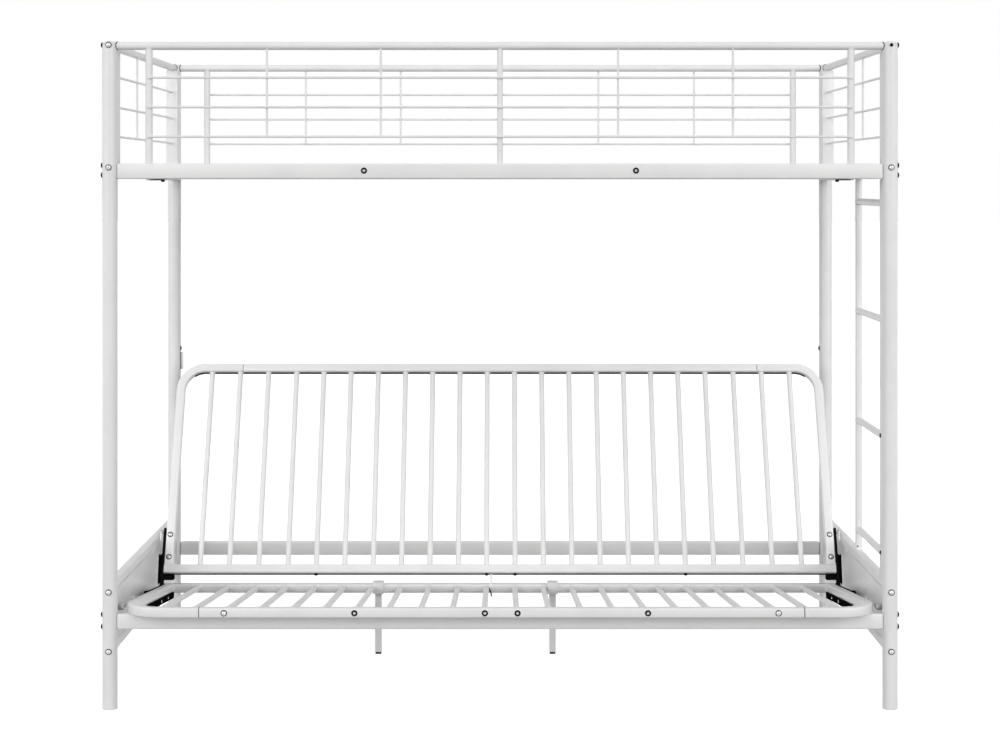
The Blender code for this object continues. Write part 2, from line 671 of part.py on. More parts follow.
def make_seat():
    """Futon seat: front tube, two side tubes with round corners, rear rail with the slats."""
    front = -SEAT_FRONT_OVERHANG
    ends = [place(front, SEAT_FRONT_HEIGHT, -SEAM_X), place(front, SEAT_FRONT_HEIGHT, SEAM_X)]
    finish(square_tube("seat_front_tube", ends, FUTON_TUBE_WALL), PAINT)
    for side, sign in SIDES.items():
        route = [place(front, SEAT_FRONT_HEIGHT, sign * (SEAM_X + GAP))]
        radius = SEAT_CORNER_RADIUS
        for step in range(7):
            turn = math.pi / 2 * step / 6
            x = SEAT_SIDE_X - radius + radius * math.sin(turn)
            route.append(place(front + radius - radius * math.cos(turn), SEAT_FRONT_HEIGHT, sign * x))
        route.append(place(SEAT_LEVEL_DEPTH, SEAT_FRONT_HEIGHT, sign * SEAT_SIDE_X))
        last = SEAT_REAR_DEPTH - FUTON_HALF * (1 + SEAT_SLOPE) - GAP
        route.append(place(last, seat_tube_height(last), sign * SEAT_SIDE_X))
        finish(square_tube(f"seat_side_tube_{side}", route, FUTON_TUBE_WALL), PAINT)
    ends = [place(SEAT_REAR_DEPTH, SEAT_REAR_HEIGHT, -SEAT_HALF_WIDTH),
            place(SEAT_REAR_DEPTH, SEAT_REAR_HEIGHT, SEAT_HALF_WIDTH)]
    rear = square_tube("seat_slat_grid", ends)
    start = place(front + FUTON_HALF + SEAT_SLAT_SETBACK, SEAT_FRONT_HEIGHT + SEAT_SLAT_LIFT, 0)
    end = place(SEAT_REAR_DEPTH, SEAT_REAR_HEIGHT, 0)
    slats = []
    for number, x in enumerate(slat_places()):
        shift = Vector((x, 0, 0))
        slats.append(bar(f"seat_slat_{number}", start + shift, end + shift, SLAT_DIAMETER / 2, 8,
                         is_cutter=True))
    finish(boolean(rear, slats, "UNION"), PAINT)


def make_mid_legs():
    """Two legs clamped round the seat's rear rail, each with a plastic foot."""
    bore = FUTON_HALF + GAP
    half = MID_LEG_WIDTH / 2
    wide = MID_LEG_CLAMP_WIDTH / 2
    deep = MID_LEG_CLAMP_DEPTH / 2
    for side, x in {"left": MID_LEG_LEFT_X, "right": MID_LEG_RIGHT_X}.items():
        name = f"mid_leg_{side}"
        clamp_foot = SEAT_REAR_HEIGHT - MID_LEG_CLAMP_DROP
        leg = block(name, place(SEAT_REAR_DEPTH - half, MID_LEG_FOOT_HEIGHT + GAP, x - half),
                    place(SEAT_REAR_DEPTH + half, clamp_foot + WELD_SINK, x + half))
        clamp = block(f"{name}_clamp", place(SEAT_REAR_DEPTH - deep, clamp_foot, x - wide),
                      place(SEAT_REAR_DEPTH + deep, SEAT_REAR_HEIGHT + MID_LEG_CLAMP_RISE, x + wide),
                      is_cutter=True)
        boolean(leg, [clamp], "UNION")
        hole = block(f"{name}_bore",
                     place(SEAT_REAR_DEPTH - bore, SEAT_REAR_HEIGHT - bore, x - wide - OVERRUN),
                     place(SEAT_REAR_DEPTH + bore, SEAT_REAR_HEIGHT + bore, x + wide + OVERRUN),
                     is_cutter=True)
        finish(boolean(leg, [hole], "DIFFERENCE"), PAINT)
        small = half - MID_LEG_FOOT_INSET
        foot = block(f"mid_leg_foot_{side}", place(SEAT_REAR_DEPTH - small, 0, x - small),
                     place(SEAT_REAR_DEPTH + small, MID_LEG_FOOT_HEIGHT, x + small))
        finish(foot, BLACK_PLASTIC)


def back_point(reach):
    """Depth and height on the back's middle plane, at a reach up from its bottom rail."""
    return (BACK_BOTTOM_DEPTH + reach * BACK_RUN / BACK_LENGTH,
            BACK_BOTTOM_HEIGHT + reach * BACK_RISE / BACK_LENGTH)


def lean(item):
    """Stand a piece drawn flat, with its bottom rail on the X axis, in the back's plane."""
    item.location = place(BACK_BOTTOM_DEPTH, BACK_BOTTOM_HEIGHT, 0)
    item.rotation_euler.x = BACK_ANGLE
    return item


def make_back():
    """Futon back: bottom rail with the slats, two side tubes with round corners, top tube."""
    ends = [(-SEAM_X, BACK_LENGTH, 0), (SEAM_X, BACK_LENGTH, 0)]
    finish(lean(square_tube("back_top_tube", ends, FUTON_TUBE_WALL)), PAINT)
    radius = BACK_CORNER_RADIUS
    for side, sign in SIDES.items():
        route = [(sign * BACK_SIDE_X, FUTON_HALF + GAP, 0)]
        for step in range(7):
            turn = math.pi / 2 * step / 6
            x = BACK_SIDE_X - radius + radius * math.cos(turn)
            route.append((sign * x, BACK_LENGTH - radius + radius * math.sin(turn), 0))
        route.append((sign * (SEAM_X + GAP), BACK_LENGTH, 0))
        finish(lean(square_tube(f"back_side_tube_{side}", route, FUTON_TUBE_WALL)), PAINT)
    rail = lean(square_tube("back_slat_grid", [(-BACK_HALF_WIDTH, 0, 0), (BACK_HALF_WIDTH, 0, 0)]))
    slats = []
    for number, x in enumerate(slat_places()):
        slats.append(bar(f"back_slat_{number}", place(*back_point(0), x),
                         place(*back_point(BACK_LENGTH - FUTON_HALF - GAP), x),
                         SLAT_DIAMETER / 2, 8, is_cutter=True))
    finish(boolean(rail, slats, "UNION"), PAINT)


def fold_pivot():
    """Depth and height of the hinge between seat and back."""
    run = SEAT_REAR_DEPTH + SEAT_FRONT_OVERHANG
    drop = SEAT_FRONT_HEIGHT - SEAT_REAR_HEIGHT
    length = math.hypot(run, drop)
    return (SEAT_REAR_DEPTH - FOLD_PIVOT_SETBACK * run / length,
            SEAT_REAR_HEIGHT + FOLD_PIVOT_SETBACK * drop / length)


def level_pivot():
    """Depth and height of the hinge between the slide bars and the seat."""
    return (LEVEL_PIVOT_DEPTH, seat_tube_height(LEVEL_PIVOT_DEPTH))


def slide_point(run, lift=0):
    """Depth and height at a run back along the slide from the level pivot."""
    depth, height = level_pivot()
    return (depth + run * math.cos(SLIDE_ANGLE) + lift * math.sin(SLIDE_ANGLE),
            height - run * math.sin(SLIDE_ANGLE) + lift * math.cos(SLIDE_ANGLE))


def on_back(distance):
    """Depth and height on the back's own line, at a distance up from the fold pivot."""
    depth, height = fold_pivot()
    return (depth + distance * BACK_RUN / BACK_LENGTH, height + distance * BACK_RISE / BACK_LENGTH)


def beside_tube(depth, drop):
    """Depth and height of a point under a seat side tube's axis."""
    return (depth, seat_tube_height(depth) - drop)


def make_mechanism():
    """Black steel arms, plates and links that join seat, back, slides and end panels."""
    pin_hole = PIVOT_RADIUS + PIVOT_CLEARANCE
    for side, sign in SIDES.items():
        across = Vector((sign, 0, 0))
        arm = plate(f"seat_arm_{side}",
                    stadium(beside_tube(SEAT_ARM_FRONT_DEPTH, 0), fold_pivot(), SEAT_ARM_HALF_HEIGHT),
                    [circle(level_pivot(), pin_hole), circle(fold_pivot(), pin_hole)],
                    PLATE_THICKNESS, sign * ARM_X)
        finish(arm, BLACK_STEEL)
        make_inner_plate(side, sign)
        make_back_arm(side, sign, pin_hole)
        inner = ARM_X - PLATE_THICKNESS / 2
        shoulder_start = ARM_X + PLATE_THICKNESS / 2 + GAP - inner
        shoulder_end = BACK_ARM_X - PLATE_THICKNESS / 2 - GAP - inner
        head_start = BACK_ARM_OUT + GAP - inner
        head_end = head_start + PIVOT_HEAD_HEIGHT
        profile = [
            (0, head_end), (PIVOT_HEAD_RADIUS, head_end), (PIVOT_HEAD_RADIUS, head_start),
            (PIVOT_RADIUS, head_start), (PIVOT_RADIUS, shoulder_end),
            (PIVOT_SHOULDER_RADIUS, shoulder_end), (PIVOT_SHOULDER_RADIUS, shoulder_start),
            (PIVOT_RADIUS, shoulder_start), (PIVOT_RADIUS, 0), (0, 0),
        ]
        pin = turned(f"fold_pin_{side}", profile, place(*fold_pivot(), sign * inner), across, 16)
        finish(pin, ZINC)
        make_link(side, sign)
        make_slide(side, sign)


def make_inner_plate(side, sign):
    """Black plate inside a seat side tube: tapered at the front, round at the rear."""
    radius = (INNER_PLATE_DROP - INNER_PLATE_TOP_DROP) / 2
    middle = (INNER_PLATE_DROP + INNER_PLATE_TOP_DROP) / 2
    rear = beside_tube(INNER_PLATE_REAR_DEPTH - radius, middle)
    outline = [beside_tube(INNER_PLATE_FRONT_DEPTH, INNER_PLATE_TOP_DROP),
               beside_tube(INNER_PLATE_FRONT_DEPTH, INNER_PLATE_FRONT_DROP),
               beside_tube(INNER_PLATE_TAPER_DEPTH, INNER_PLATE_DROP)]
    for step in range(9):
        turn = math.pi * (step / 8 - 1 / 2) - math.atan(SEAT_SLOPE)
        outline.append((rear[0] + radius * math.cos(turn), rear[1] + radius * math.sin(turn)))
    reach = INNER_PLATE_REAR_DEPTH - INNER_PLATE_FRONT_DEPTH
    holes = []
    for share in INNER_PLATE_HOLE_SHARES:
        centre = beside_tube(INNER_PLATE_FRONT_DEPTH + share * reach, middle)
        holes.append(circle(centre, INNER_PLATE_HOLE_RADIUS, 8))
    item = plate(f"seat_inner_plate_{side}", outline, holes, PLATE_THICKNESS, sign * INNER_PLATE_X)
    finish(item, BLACK_STEEL)


def make_back_arm(side, sign, pin_hole):
    """Black arm up the outside of a back side tube, with a foot under the bottom rail."""
    upper = on_back(BACK_ARM_LENGTH)
    arm = plate(f"back_arm_{side}", stadium(fold_pivot(), upper, BACK_ARM_HALF_WIDTH),
                [circle(fold_pivot(), pin_hole), circle(upper, pin_hole)],
                PLATE_THICKNESS, sign * BACK_ARM_X)
    outer = sign * BACK_ARM_OUT
    inner = sign * (BACK_HALF_WIDTH - BACK_ARM_FOOT_INSET)
    rail_drop = FUTON_HALF * (BACK_RUN + BACK_RISE) / BACK_LENGTH
    top = BACK_BOTTOM_HEIGHT - rail_drop - GAP
    front = BACK_BOTTOM_DEPTH - BACK_ARM_FOOT_SETBACK
    foot = block(f"back_arm_foot_{side}",
                 place(front, top - BACK_ARM_FOOT_HEIGHT, min(outer, inner)),
                 place(front + BACK_ARM_FOOT_REACH, top, max(outer, inner)), is_cutter=True)
    finish(boolean(arm, [foot], "UNION"), BLACK_STEEL)


def make_link(side, sign):
    """Stay link from the end panel up to the back arm, with its foot stud and its rivet head."""
    foot = (LINK_FOOT_DEPTH, LINK_FOOT_HEIGHT)
    head = on_back(BACK_ARM_LENGTH)
    link = plate(f"stay_link_{side}", stadium(foot, head, LINK_HALF_WIDTH), [], LINK_THICKNESS,
                 sign * LINK_X)
    studs = [
        bar(f"stay_link_{side}_stud", place(*foot, sign * LINK_X), place(*foot, sign * TRACK_WEB_X),
            PIVOT_RADIUS, 12, is_cutter=True),
        bar(f"stay_link_{side}_rivet", place(*head, sign * LINK_X),
            place(*head, sign * (LINK_OUT + LINK_RIVET_HEIGHT)), LINK_RIVET_RADIUS, 12,
            is_cutter=True),
    ]
    finish(boolean(link, studs, "UNION"), ZINC)


def make_slide(side, sign):
    """Slide bar under the seat with its level stud and two shoes."""
    pivot = level_pivot()
    name = f"slide_bar_{side}"
    item = plate(name, stadium(pivot, slide_point(SLIDE_BAR_TAIL), SLIDE_BAR_HALF_HEIGHT), [],
                 PLATE_THICKNESS, sign * SLIDE_BAR_X)
    inner = ARM_X - PLATE_THICKNESS / 2
    shoulder = ARM_X + PLATE_THICKNESS / 2 + GAP
    extras = [
        bar(f"{name}_stud", place(*pivot, sign * inner), place(*pivot, sign * SLIDE_BAR_X),
            PIVOT_RADIUS, 12, is_cutter=True),
        bar(f"{name}_shoulder", place(*pivot, sign * shoulder), place(*pivot, sign * SLIDE_BAR_X),
            PIVOT_SHOULDER_RADIUS, 16, is_cutter=True),
    ]
    shoe_half = TRACK_HEIGHT / 2 - TRACK_WALL - GAP
    shoe_end = TRACK_WEB_X - TRACK_WALL - GAP
    for number, run in enumerate(SLIDE_SHOE_RUNS):
        outline = [slide_point(run, -shoe_half), slide_point(run + SLIDE_SHOE_LENGTH, -shoe_half),
                   slide_point(run + SLIDE_SHOE_LENGTH, shoe_half), slide_point(run, shoe_half)]
        extras.append(plate(f"{name}_shoe_{number}", outline, [], shoe_end - SLIDE_BAR_X,
                            sign * (shoe_end + SLIDE_BAR_X) / 2, is_cutter=True))
    finish(boolean(item, extras, "UNION"), BLACK_STEEL)
    make_track(side, sign)


def make_track(side, sign):
    """White channel on the end panel that the slide bar's shoes run in, open inwards."""
    pivot = level_pivot()
    name = f"slide_track_{side}"
    half = TRACK_HEIGHT / 2
    first = (TRACK_FRONT_DEPTH - pivot[0]) / math.cos(SLIDE_ANGLE)
    last = (TRACK_REAR_DEPTH - pivot[0]) / math.cos(SLIDE_ANGLE)
    outline = [slide_point(first, -half), slide_point(last, -half),
               slide_point(last, half), slide_point(first, half)]
    track = plate(name, outline, [], TRACK_FLANGE, sign * (TRACK_WEB_X - TRACK_FLANGE / 2))
    lip = half - TRACK_WALL
    groove = [slide_point(first - OVERRUN, -lip), slide_point(last + OVERRUN, -lip),
              slide_point(last + OVERRUN, lip), slide_point(first - OVERRUN, lip)]
    deep = TRACK_FLANGE - TRACK_WALL + OVERRUN
    cut = plate(f"{name}_groove", groove, [], deep, sign * (TRACK_WEB_X - TRACK_WALL - deep / 2),
                is_cutter=True)
    boolean(track, [cut], "DIFFERENCE")
    bosses = []
    for number, share in enumerate(TRACK_BOSS_SHARES):
        centre = slide_point(first + share * (last - first))
        bosses.append(bar(f"{name}_boss_{number}", place(*centre, sign * (TRACK_WEB_X - TRACK_WALL / 2)),
                          place(*centre, sign * TRACK_BACK_X), TRACK_BOSS_RADIUS, 12, is_cutter=True))
    finish(boolean(track, bosses, "UNION"), PAINT)


def make_bolt(name, base, outward, reach, look):
    """Button-head bolt standing on a face, with its shank pointing inwards."""
    profile = [(BOLT_HEAD_RADIUS * out, BOLT_HEAD_HEIGHT * up) for out, up in BOLT_HEAD_SHARES]
    profile += [(BOLT_RADIUS, 0), (BOLT_RADIUS, -reach), (0, -reach)]
    finish(turned(name, profile, base + outward * GAP, outward, 16), look)


def drill(item, base, outward, reach):
    """Cut a bolt hole into an object's outer wall."""
    hole = bar(item.name + "_bolt_hole", base + outward * OVERRUN, base - outward * reach,
               BOLT_RADIUS + GAP, 12, is_cutter=True)
    boolean(item, [hole], "DIFFERENCE")


def make_bolts():
    """The bolts that reach furthest out: one each side, one at the rear, one on the seat."""
    for side, sign in SIDES.items():
        outward = Vector((sign, 0, 0))
        base = place(0, POST_BOLT_HEIGHT, sign * (POST_X + POST_RADIUS))
        make_bolt(f"bolt_post_{side}", base, outward, BOLT_SHANK, BLACK_STEEL)
        drill(bpy.data.objects[f"post_front_{side}"], base, outward, BOLT_SHANK + OVERRUN)
    outward = Vector((0, 1, 0))
    base = place(POST_SPAN_Y + POST_RADIUS, POST_BOLT_HEIGHT, POST_X)
    make_bolt("bolt_post_rear", base, outward, BOLT_SHANK, BLACK_STEEL)
    drill(bpy.data.objects["post_rear_right"], base, outward, BOLT_SHANK + OVERRUN)
    outward = Vector((0, -1, 0))
    base = place(-SEAT_FRONT_OVERHANG - FUTON_HALF, SEAT_FRONT_HEIGHT,
                 SEAT_BOLT_X_PITCHES * SLAT_PITCH)
    make_bolt("bolt_seat_front", base, outward, FUTON_HALF, ZINC)
    drill(bpy.data.objects["seat_front_tube"], base, outward, FUTON_HALF + OVERRUN)


def hang(names, pivot_name, pivot, parent=None):
    """Parent objects to an empty that stands on their joint's axis."""
    axis = bpy.data.objects.new(pivot_name, None)
    PARTS.objects.link(axis)
    axis.location = pivot
    home = Matrix.Translation(pivot)
    if parent is not None:
        axis.parent = parent[0]
        axis.matrix_parent_inverse = parent[1].inverted()
    for name in names:
        item = bpy.data.objects[name]
        item.parent = axis
        item.matrix_parent_inverse = home.inverted()
    return axis, home


def make_joints():
    """Empties on the joint axes: slide, seat level, back fold and stay links."""
    pair = tuple(SIDES)
    carriage = hang([f"slide_bar_{side}" for side in pair], "slide_carriage", place(*level_pivot(), 0))
    seat_names = ["seat_front_tube", "seat_slat_grid", "bolt_seat_front"]
    back_names = ["back_top_tube", "back_slat_grid"]
    for side in pair:
        seat_names += [f"seat_side_tube_{side}", f"mid_leg_{side}", f"mid_leg_foot_{side}",
                       f"seat_arm_{side}", f"seat_inner_plate_{side}", f"fold_pin_{side}"]
        back_names += [f"back_side_tube_{side}", f"back_arm_{side}"]
    seat = hang(seat_names, "seat_level_axis", place(*level_pivot(), 0), carriage)
    hang(back_names, "back_fold_axis", place(*fold_pivot(), 0), seat)
    hang([f"stay_link_{side}" for side in pair], "stay_link_axis",
         place(LINK_FOOT_DEPTH, LINK_FOOT_HEIGHT, 0))


make_posts()
make_bunk_rails()
make_long_guard("front", 0, -1)
make_long_guard("rear", POST_SPAN_Y, 1)
for side_name, side_sign in SIDES.items():
    make_end_guard(side_name, side_sign)
make_deck()
make_end_panels()
make_ladder()
make_seat()
make_mid_legs()
make_back()
make_mechanism()
make_bolts()
make_joints()
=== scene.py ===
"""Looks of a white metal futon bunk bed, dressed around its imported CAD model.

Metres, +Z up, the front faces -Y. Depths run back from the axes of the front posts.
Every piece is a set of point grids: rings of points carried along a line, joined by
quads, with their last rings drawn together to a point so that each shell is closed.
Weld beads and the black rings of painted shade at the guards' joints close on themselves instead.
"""

import json
import math

import bmesh
import bpy
import numpy as np
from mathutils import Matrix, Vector


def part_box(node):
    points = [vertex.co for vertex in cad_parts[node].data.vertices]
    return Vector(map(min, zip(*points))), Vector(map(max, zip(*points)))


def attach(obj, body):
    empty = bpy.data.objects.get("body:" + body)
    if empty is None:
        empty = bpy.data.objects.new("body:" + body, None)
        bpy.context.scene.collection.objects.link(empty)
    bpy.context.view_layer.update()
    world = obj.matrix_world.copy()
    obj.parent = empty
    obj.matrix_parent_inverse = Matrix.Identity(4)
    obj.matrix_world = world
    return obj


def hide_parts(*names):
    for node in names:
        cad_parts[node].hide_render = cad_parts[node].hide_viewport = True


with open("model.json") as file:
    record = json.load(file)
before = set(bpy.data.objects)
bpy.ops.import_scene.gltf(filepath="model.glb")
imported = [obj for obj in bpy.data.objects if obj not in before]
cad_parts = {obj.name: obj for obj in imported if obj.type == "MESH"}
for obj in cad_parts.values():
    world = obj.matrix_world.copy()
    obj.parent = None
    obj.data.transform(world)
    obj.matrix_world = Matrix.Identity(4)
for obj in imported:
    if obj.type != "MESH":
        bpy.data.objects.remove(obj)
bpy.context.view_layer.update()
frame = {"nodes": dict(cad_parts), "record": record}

# Sides of round shapes, and steps of bends and domes
POST_SIDES = 64
CAP_SIDES = 48
TUBE_SIDES = 32
BAR_SIDES = 24
HEAD_SIDES = 20
RIVET_SIDES = 18
WIRE_SIDES = 16
THIN_ROD_SIDES = 14
CORD_SIDES = 10
BEAD_SIDES = 6
BEND_STEPS = 16
ARC_STEPS = 12
DOME_STEPS = 8
SPOT_STEPS = 7
HEAD_STEPS = 6
EDGE_STEPS = 5
ROUND_STEPS = 4
PANEL_STEPS = (260, 60)

# Bunk frame
POST_DIAMETER = 0.038
POST_SPAN_X = 1.943
POST_SPAN_Y = 1.020
POST_TOP = 1.6545
POST_EDGE = 0.0012
FRONT_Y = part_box("post_front_left")[0][1] + POST_DIAMETER / 2
CAP_DOME = 0.0077
CAP_GAP = 0.0003
FINE_EDGE = 0.0006
MERGE_DISTANCE = 1e-7
CREASE = 40.0
RAIL_EDGE = 0.0035
STRIP_EDGE = 0.0030
SLAT_EDGE = 0.0015

# Guards
GUARD_TUBE_DIAMETER = 0.020
GUARD_TOP_AXIS = 1.650
GUARD_END_UPRIGHT_X = 0.874
GUARD_END_UPRIGHT_DIAMETER = 0.018
GUARD_MID_UPRIGHT_DIAMETER = 0.014
GUARD_FOOT = 1.3573
WIRE_DIAMETER = 0.006
ROD_DIAMETER = 0.0055
WIRE_HEIGHTS = (1.571, 1.4975, 1.424)
WIRE_TAIL = 0.003
ROD_SHARES = (-0.6637, -0.3395, 0.3362, 0.6632)
END_WIRE_HEIGHTS = (1.5768, 1.5000, 1.4258)
END_ROD_DEPTHS = (0.360, 0.585)
STRIP_WIDTH = 0.034
STRIP_DEPTH = 0.030
STRIP_TOP = 1.6414
WELD_SINK = 0.0014
SPOT_WELD = 0.0026
END_SPOT_WELD = 0.00364

# Upper deck
DECK_TOP = 1.345
DECK_SLAT_THICKNESS = 0.010
DECK_SLAT_WIDTH = 0.030
DECK_SLAT_COUNT = 14
DECK_BAR_WIDTH = 0.020
DECK_INSET = 0.018

# End panels
PANEL_BORDER = 0.022
PANEL_RECESS = 0.0038
PANEL_CORNER = 0.030
PANEL_SLOPE = 0.009
PANEL_EDGE = 0.0025
PANEL_RISE = 0.017
PANEL_LUG_HALF = 0.040

# Ladder
LADDER_TUBE_DIAMETER = 0.018
LADDER_REAR_DEPTH = 0.450
LADDER_RUNGS = 4
RUNG_BEAD_SHARE = 0.99

# Futon
FUTON_WIDTH = 0.024
FUTON_EDGE = 0.0035
FUTON_END_EDGE = 0.0008
SEAT_FRONT_DEPTH = -0.050
SEAT_FRONT_HEIGHT = 0.250
SEAT_LEVEL_DEPTH = 0.033
SEAT_KNEE = 0.006
SEAT_REAR_DEPTH = 0.600
SEAT_REAR_HEIGHT = 0.182
SEAT_HALF_WIDTH = 0.930
SEAT_CORNER = 0.075
SEAM_X = 0.747
SEAT_SEAM_X = 0.746
SEAT_SEAM_SHIFT = 0.0042
SLAT_COUNT = 22
SLAT_NEAR_PITCH = 0.0792
SLAT_FAR_PITCH = 0.0817
SLAT_NEAR_REACH = 7.5
SEAT_SLAT_SHIFT = 0.0012
BACK_SLAT_SHIFT = 0.0024
SLAT_DIAMETER = 0.015
SEAT_SLAT_LIFT = 0.004
BACK_BOTTOM_DEPTH = 0.614
BACK_BOTTOM_HEIGHT = 0.231
BACK_TOP_DEPTH = 0.874
BACK_TOP_HEIGHT = 0.767
BACK_HALF_WIDTH = 0.936
BACK_CORNER = 0.068
BEAD = 0.0014
BEAD_RIPPLES = ((7, 0.14), (3, 0.08))
SEAM_WIDTH = 0.0018
SEAT_BEAD = 0.0034
# Painted shade: thin black strips under the back's top tube and bottom rail
SHADE_STRIP_WIDTH = 0.0116
SHADE_STRIP_THICKNESS = 0.0012
SHADE_STRIP_TURN = math.radians(55)

# Fasteners and small pieces
BOLT_HEAD_RADIUS = 0.0062
BOLT_HEAD_HEIGHT = 0.0027
BOLT_WASHER_RADIUS = 0.0078
BOLT_WASHER_HEIGHT = 0.0011
BOLT_SOCKET_RADIUS = 0.0022
BOLT_SOCKET_DEPTH = 0.0016
BOLT_SOCKET_SHARE = 0.9
RIVET_TOP_SHARE = 0.7
SCREW_HEAD_RADIUS = 0.0036
SIDE_RAIL_BOLT_X = 0.338
SIDE_RAIL_BOLT_HEIGHT = 1.3395
POST_FRONT_BOLT_HEIGHTS = (1.6517, 1.3474, 0.2924, 0.1450)
POST_OUTER_BOLT_HEIGHTS = (1.6520, 1.3526, 1.3284, 0.2345, 0.2044)
SEAT_BOLT_PLACES = (-0.6796, -0.3584, -0.0372, 0.0432, 0.3644, 0.6856)
BACK_BOLT_REACHES = (0.0964, 0.0325)
BACK_SCREW_PITCHES = (-6.5, -0.5, 0.5, 6.5)
BACK_SCREW_RADIUS = 0.0032
BACK_SCREW_STAND = 0.0024
BACK_SCREW_EDGE = 0.0008
BACK_NUT_RADIUS = 0.0046
BACK_NUT_STAND = 0.0050
# Painted shade: size of the black rings for the shadow gap where guard tubes meet the posts
GAP_SHADE_RING = 0.0013
STOP_DEPTHS = (0.030, 0.058)
STOP_HEIGHTS = (0.2385, 0.2528)
STOP_X = (0.9410, 0.9605)
STOP_EDGE = 0.0015
BRACKET_NUT_X = 0.923
BRACKET_NUT_RADIUS = 0.0055
BRACKET_NUT_HEIGHT = 0.0045
BRACKET_NUT_TAPER = 0.8
BRACKET_NUT_CREASE = 30
BRACKET_NUT_SIDES = 6
BRACKET_SLEEVE_X = (0.915, 0.956)
BRACKET_SLEEVE = 0.0008
TOP_BOLT_RADIUS = 0.0042
REAR_POST_BOLT_HEIGHT = 0.815
REAR_POST_BOLT_RADIUS = 0.0075
REAR_STRIP_X = (0.9455, 0.9505, 0.9530)
REAR_STRIP_HEIGHTS = (0.753, 0.804)
REAR_STRIP_HALF_DEPTH = 0.006
LADDER_BOLT_HEIGHTS = (0.6759, 0.3823)
LADDER_BOLT_RADIUS = 0.0055
LADDER_RIVET = (0.4419, 0.3258, 0.9676)
LADDER_RIVET_RADIUS = 0.0022
STRAP_ROUND = 0.4
TIE_X = -0.0245
TIE_WIDTH = 0.0060
TIE_THICKNESS = 0.0012
TIE_RUN = ((0.5985, 0.2200), (0.5975, 0.2080), (0.5925, 0.1975), (0.5878, 0.1925), (0.5872, 0.1700))
# The tie's loose tail is drawn black as painted shade
TAIL_DEPTH = 0.5864
TAIL_RUN = ((-0.0336, 0.1875), (-0.0280, 0.1792), (-0.0247, 0.1695), (-0.0236, 0.1611))
TAIL_RADIUS = 0.0019

# Fold mechanism
PLATE_EDGE = 0.0004
INNER_PLATE_DEPTHS = (0.155, 0.300, 0.578)
INNER_PLATE_DROPS = (0.0085, 0.0120, 0.0265)
INNER_RIVETS = ((0.3621, 0.0045), (0.4714, 0.0034))
INNER_RIVET_HEIGHT = 0.0015
FOLD_PIVOT = (0.5907, 0.1830)
LINK_FOOT = (0.6106, 0.1320)
LINK_HEAD = (0.6604, 0.3269)
LINK_HALF_WIDTH = 0.0062
# Painted shade: the black band over each stay link's middle
LINK_SHADE_HALF_WIDTH = 0.0085
LINK_X = (0.9480, 0.9535)
LINK_SHADE_X = (0.9440, 0.9555)
LINK_SHADE_SHARES = (0.32, 0.66)
LINK_STUD_X = (0.9436, 0.9605)
LINK_PIVOT_RADIUS = 0.005
LINK_PIVOT_EDGE = 0.0005
LINK_HEAD_STAND = 0.0018
ARM_SPACER_X = (0.9363, 0.9402)
ARM_HALF_WIDTH = 0.012
TRACK_ENDS = ((0.260, 0.2313), (0.665, 0.1528))
TRACK_DROP = 0.0085
TRACK_HEIGHT = 0.007
TRACK_X = (0.9558, 0.9640)
TRACK_EDGE = 0.0012

# Camera, solved from the photograph's vanishing point
CAMERA_DISTANCE = 5.1385
CAMERA_HEIGHT = 1.3137
LENS_MM = 74.27
SENSOR_MM = 36.0
SHIFT_DOWN = -0.1945

# Colours
PAINT_LIGHT = (0.80, 0.80, 0.795)
PAINT_DARK = (0.765, 0.765, 0.765)
BLACK_STEEL = (0.008, 0.008, 0.009)
BLACK_WORN = (0.014, 0.013, 0.013)
ZINC_LIGHT = (0.60, 0.60, 0.61)
ZINC_DARK = (0.34, 0.34, 0.36)
BLACK_PLASTIC = (0.010, 0.010, 0.011)
GREY_PLASTIC = (0.022, 0.022, 0.023)
FLOOR_COLOUR = (0.92, 0.92, 0.92)
FLOOR_BOUNCE = (0.14, 0.14, 0.14)

# Finishes: noise as scale, detail and maybe a stretch; bump as strength and distance
PAINT_CLOUDS = (9.0, 2.0)
PAINT_PATCHES = (60.0, 3.0)
PAINT_PEEL = (650.0, 2.0)
PAINT_SPAN = (0.30, 0.55)
PAINT_ROUGHNESS = (0.30, 0.44)
PAINT_BUMP = (0.12, 0.0004)
PAINT_COAT = 0.15
PAINT_COAT_ROUGHNESS = 0.22
BLACK_RUB = (120.0, 6.0, (1, 1, 2))
BLACK_GRAIN = (900.0, 2.0)
BLACK_SPAN = (0.55, 0.80)
BLACK_ROUGHNESS = (0.45, 0.70)
BLACK_BUMP = (0.15, 0.0003)
ZINC_BLOOM = (500.0, 4.0)
ZINC_ROUGHNESS = (0.22, 0.42)
PLASTIC_SPECKLE = (800.0, 3.0)
PLASTIC_ROUGHNESS = (0.48, 0.66)
PLASTIC_BUMP = (0.2, 0.0003)
PLASTIC_SPECULAR = 0.10
MIDDLE_SPAN = (0.35, 0.65)

# Light
FLOOR_LIFT = 0.60
WORLD_LIGHT = 0.36
WORLD_SHINE = 0.80
SUN_FRONT = 1.31
SUN_TOWARDS = (0.58, 0.757, -0.30)
SUN_TOP = 0.20
SUN_SPREAD = 40
SUN_TOP_SPREAD = 60
SIDE_LAMP = 14.0
SIDE_LAMP_SIZE = 2.4
SIDE_LAMP_PLACE = (3.0, -0.4, 1.3)
SIDE_LAMP_TILT = -0.05
FLOOR_HALF = 60.0

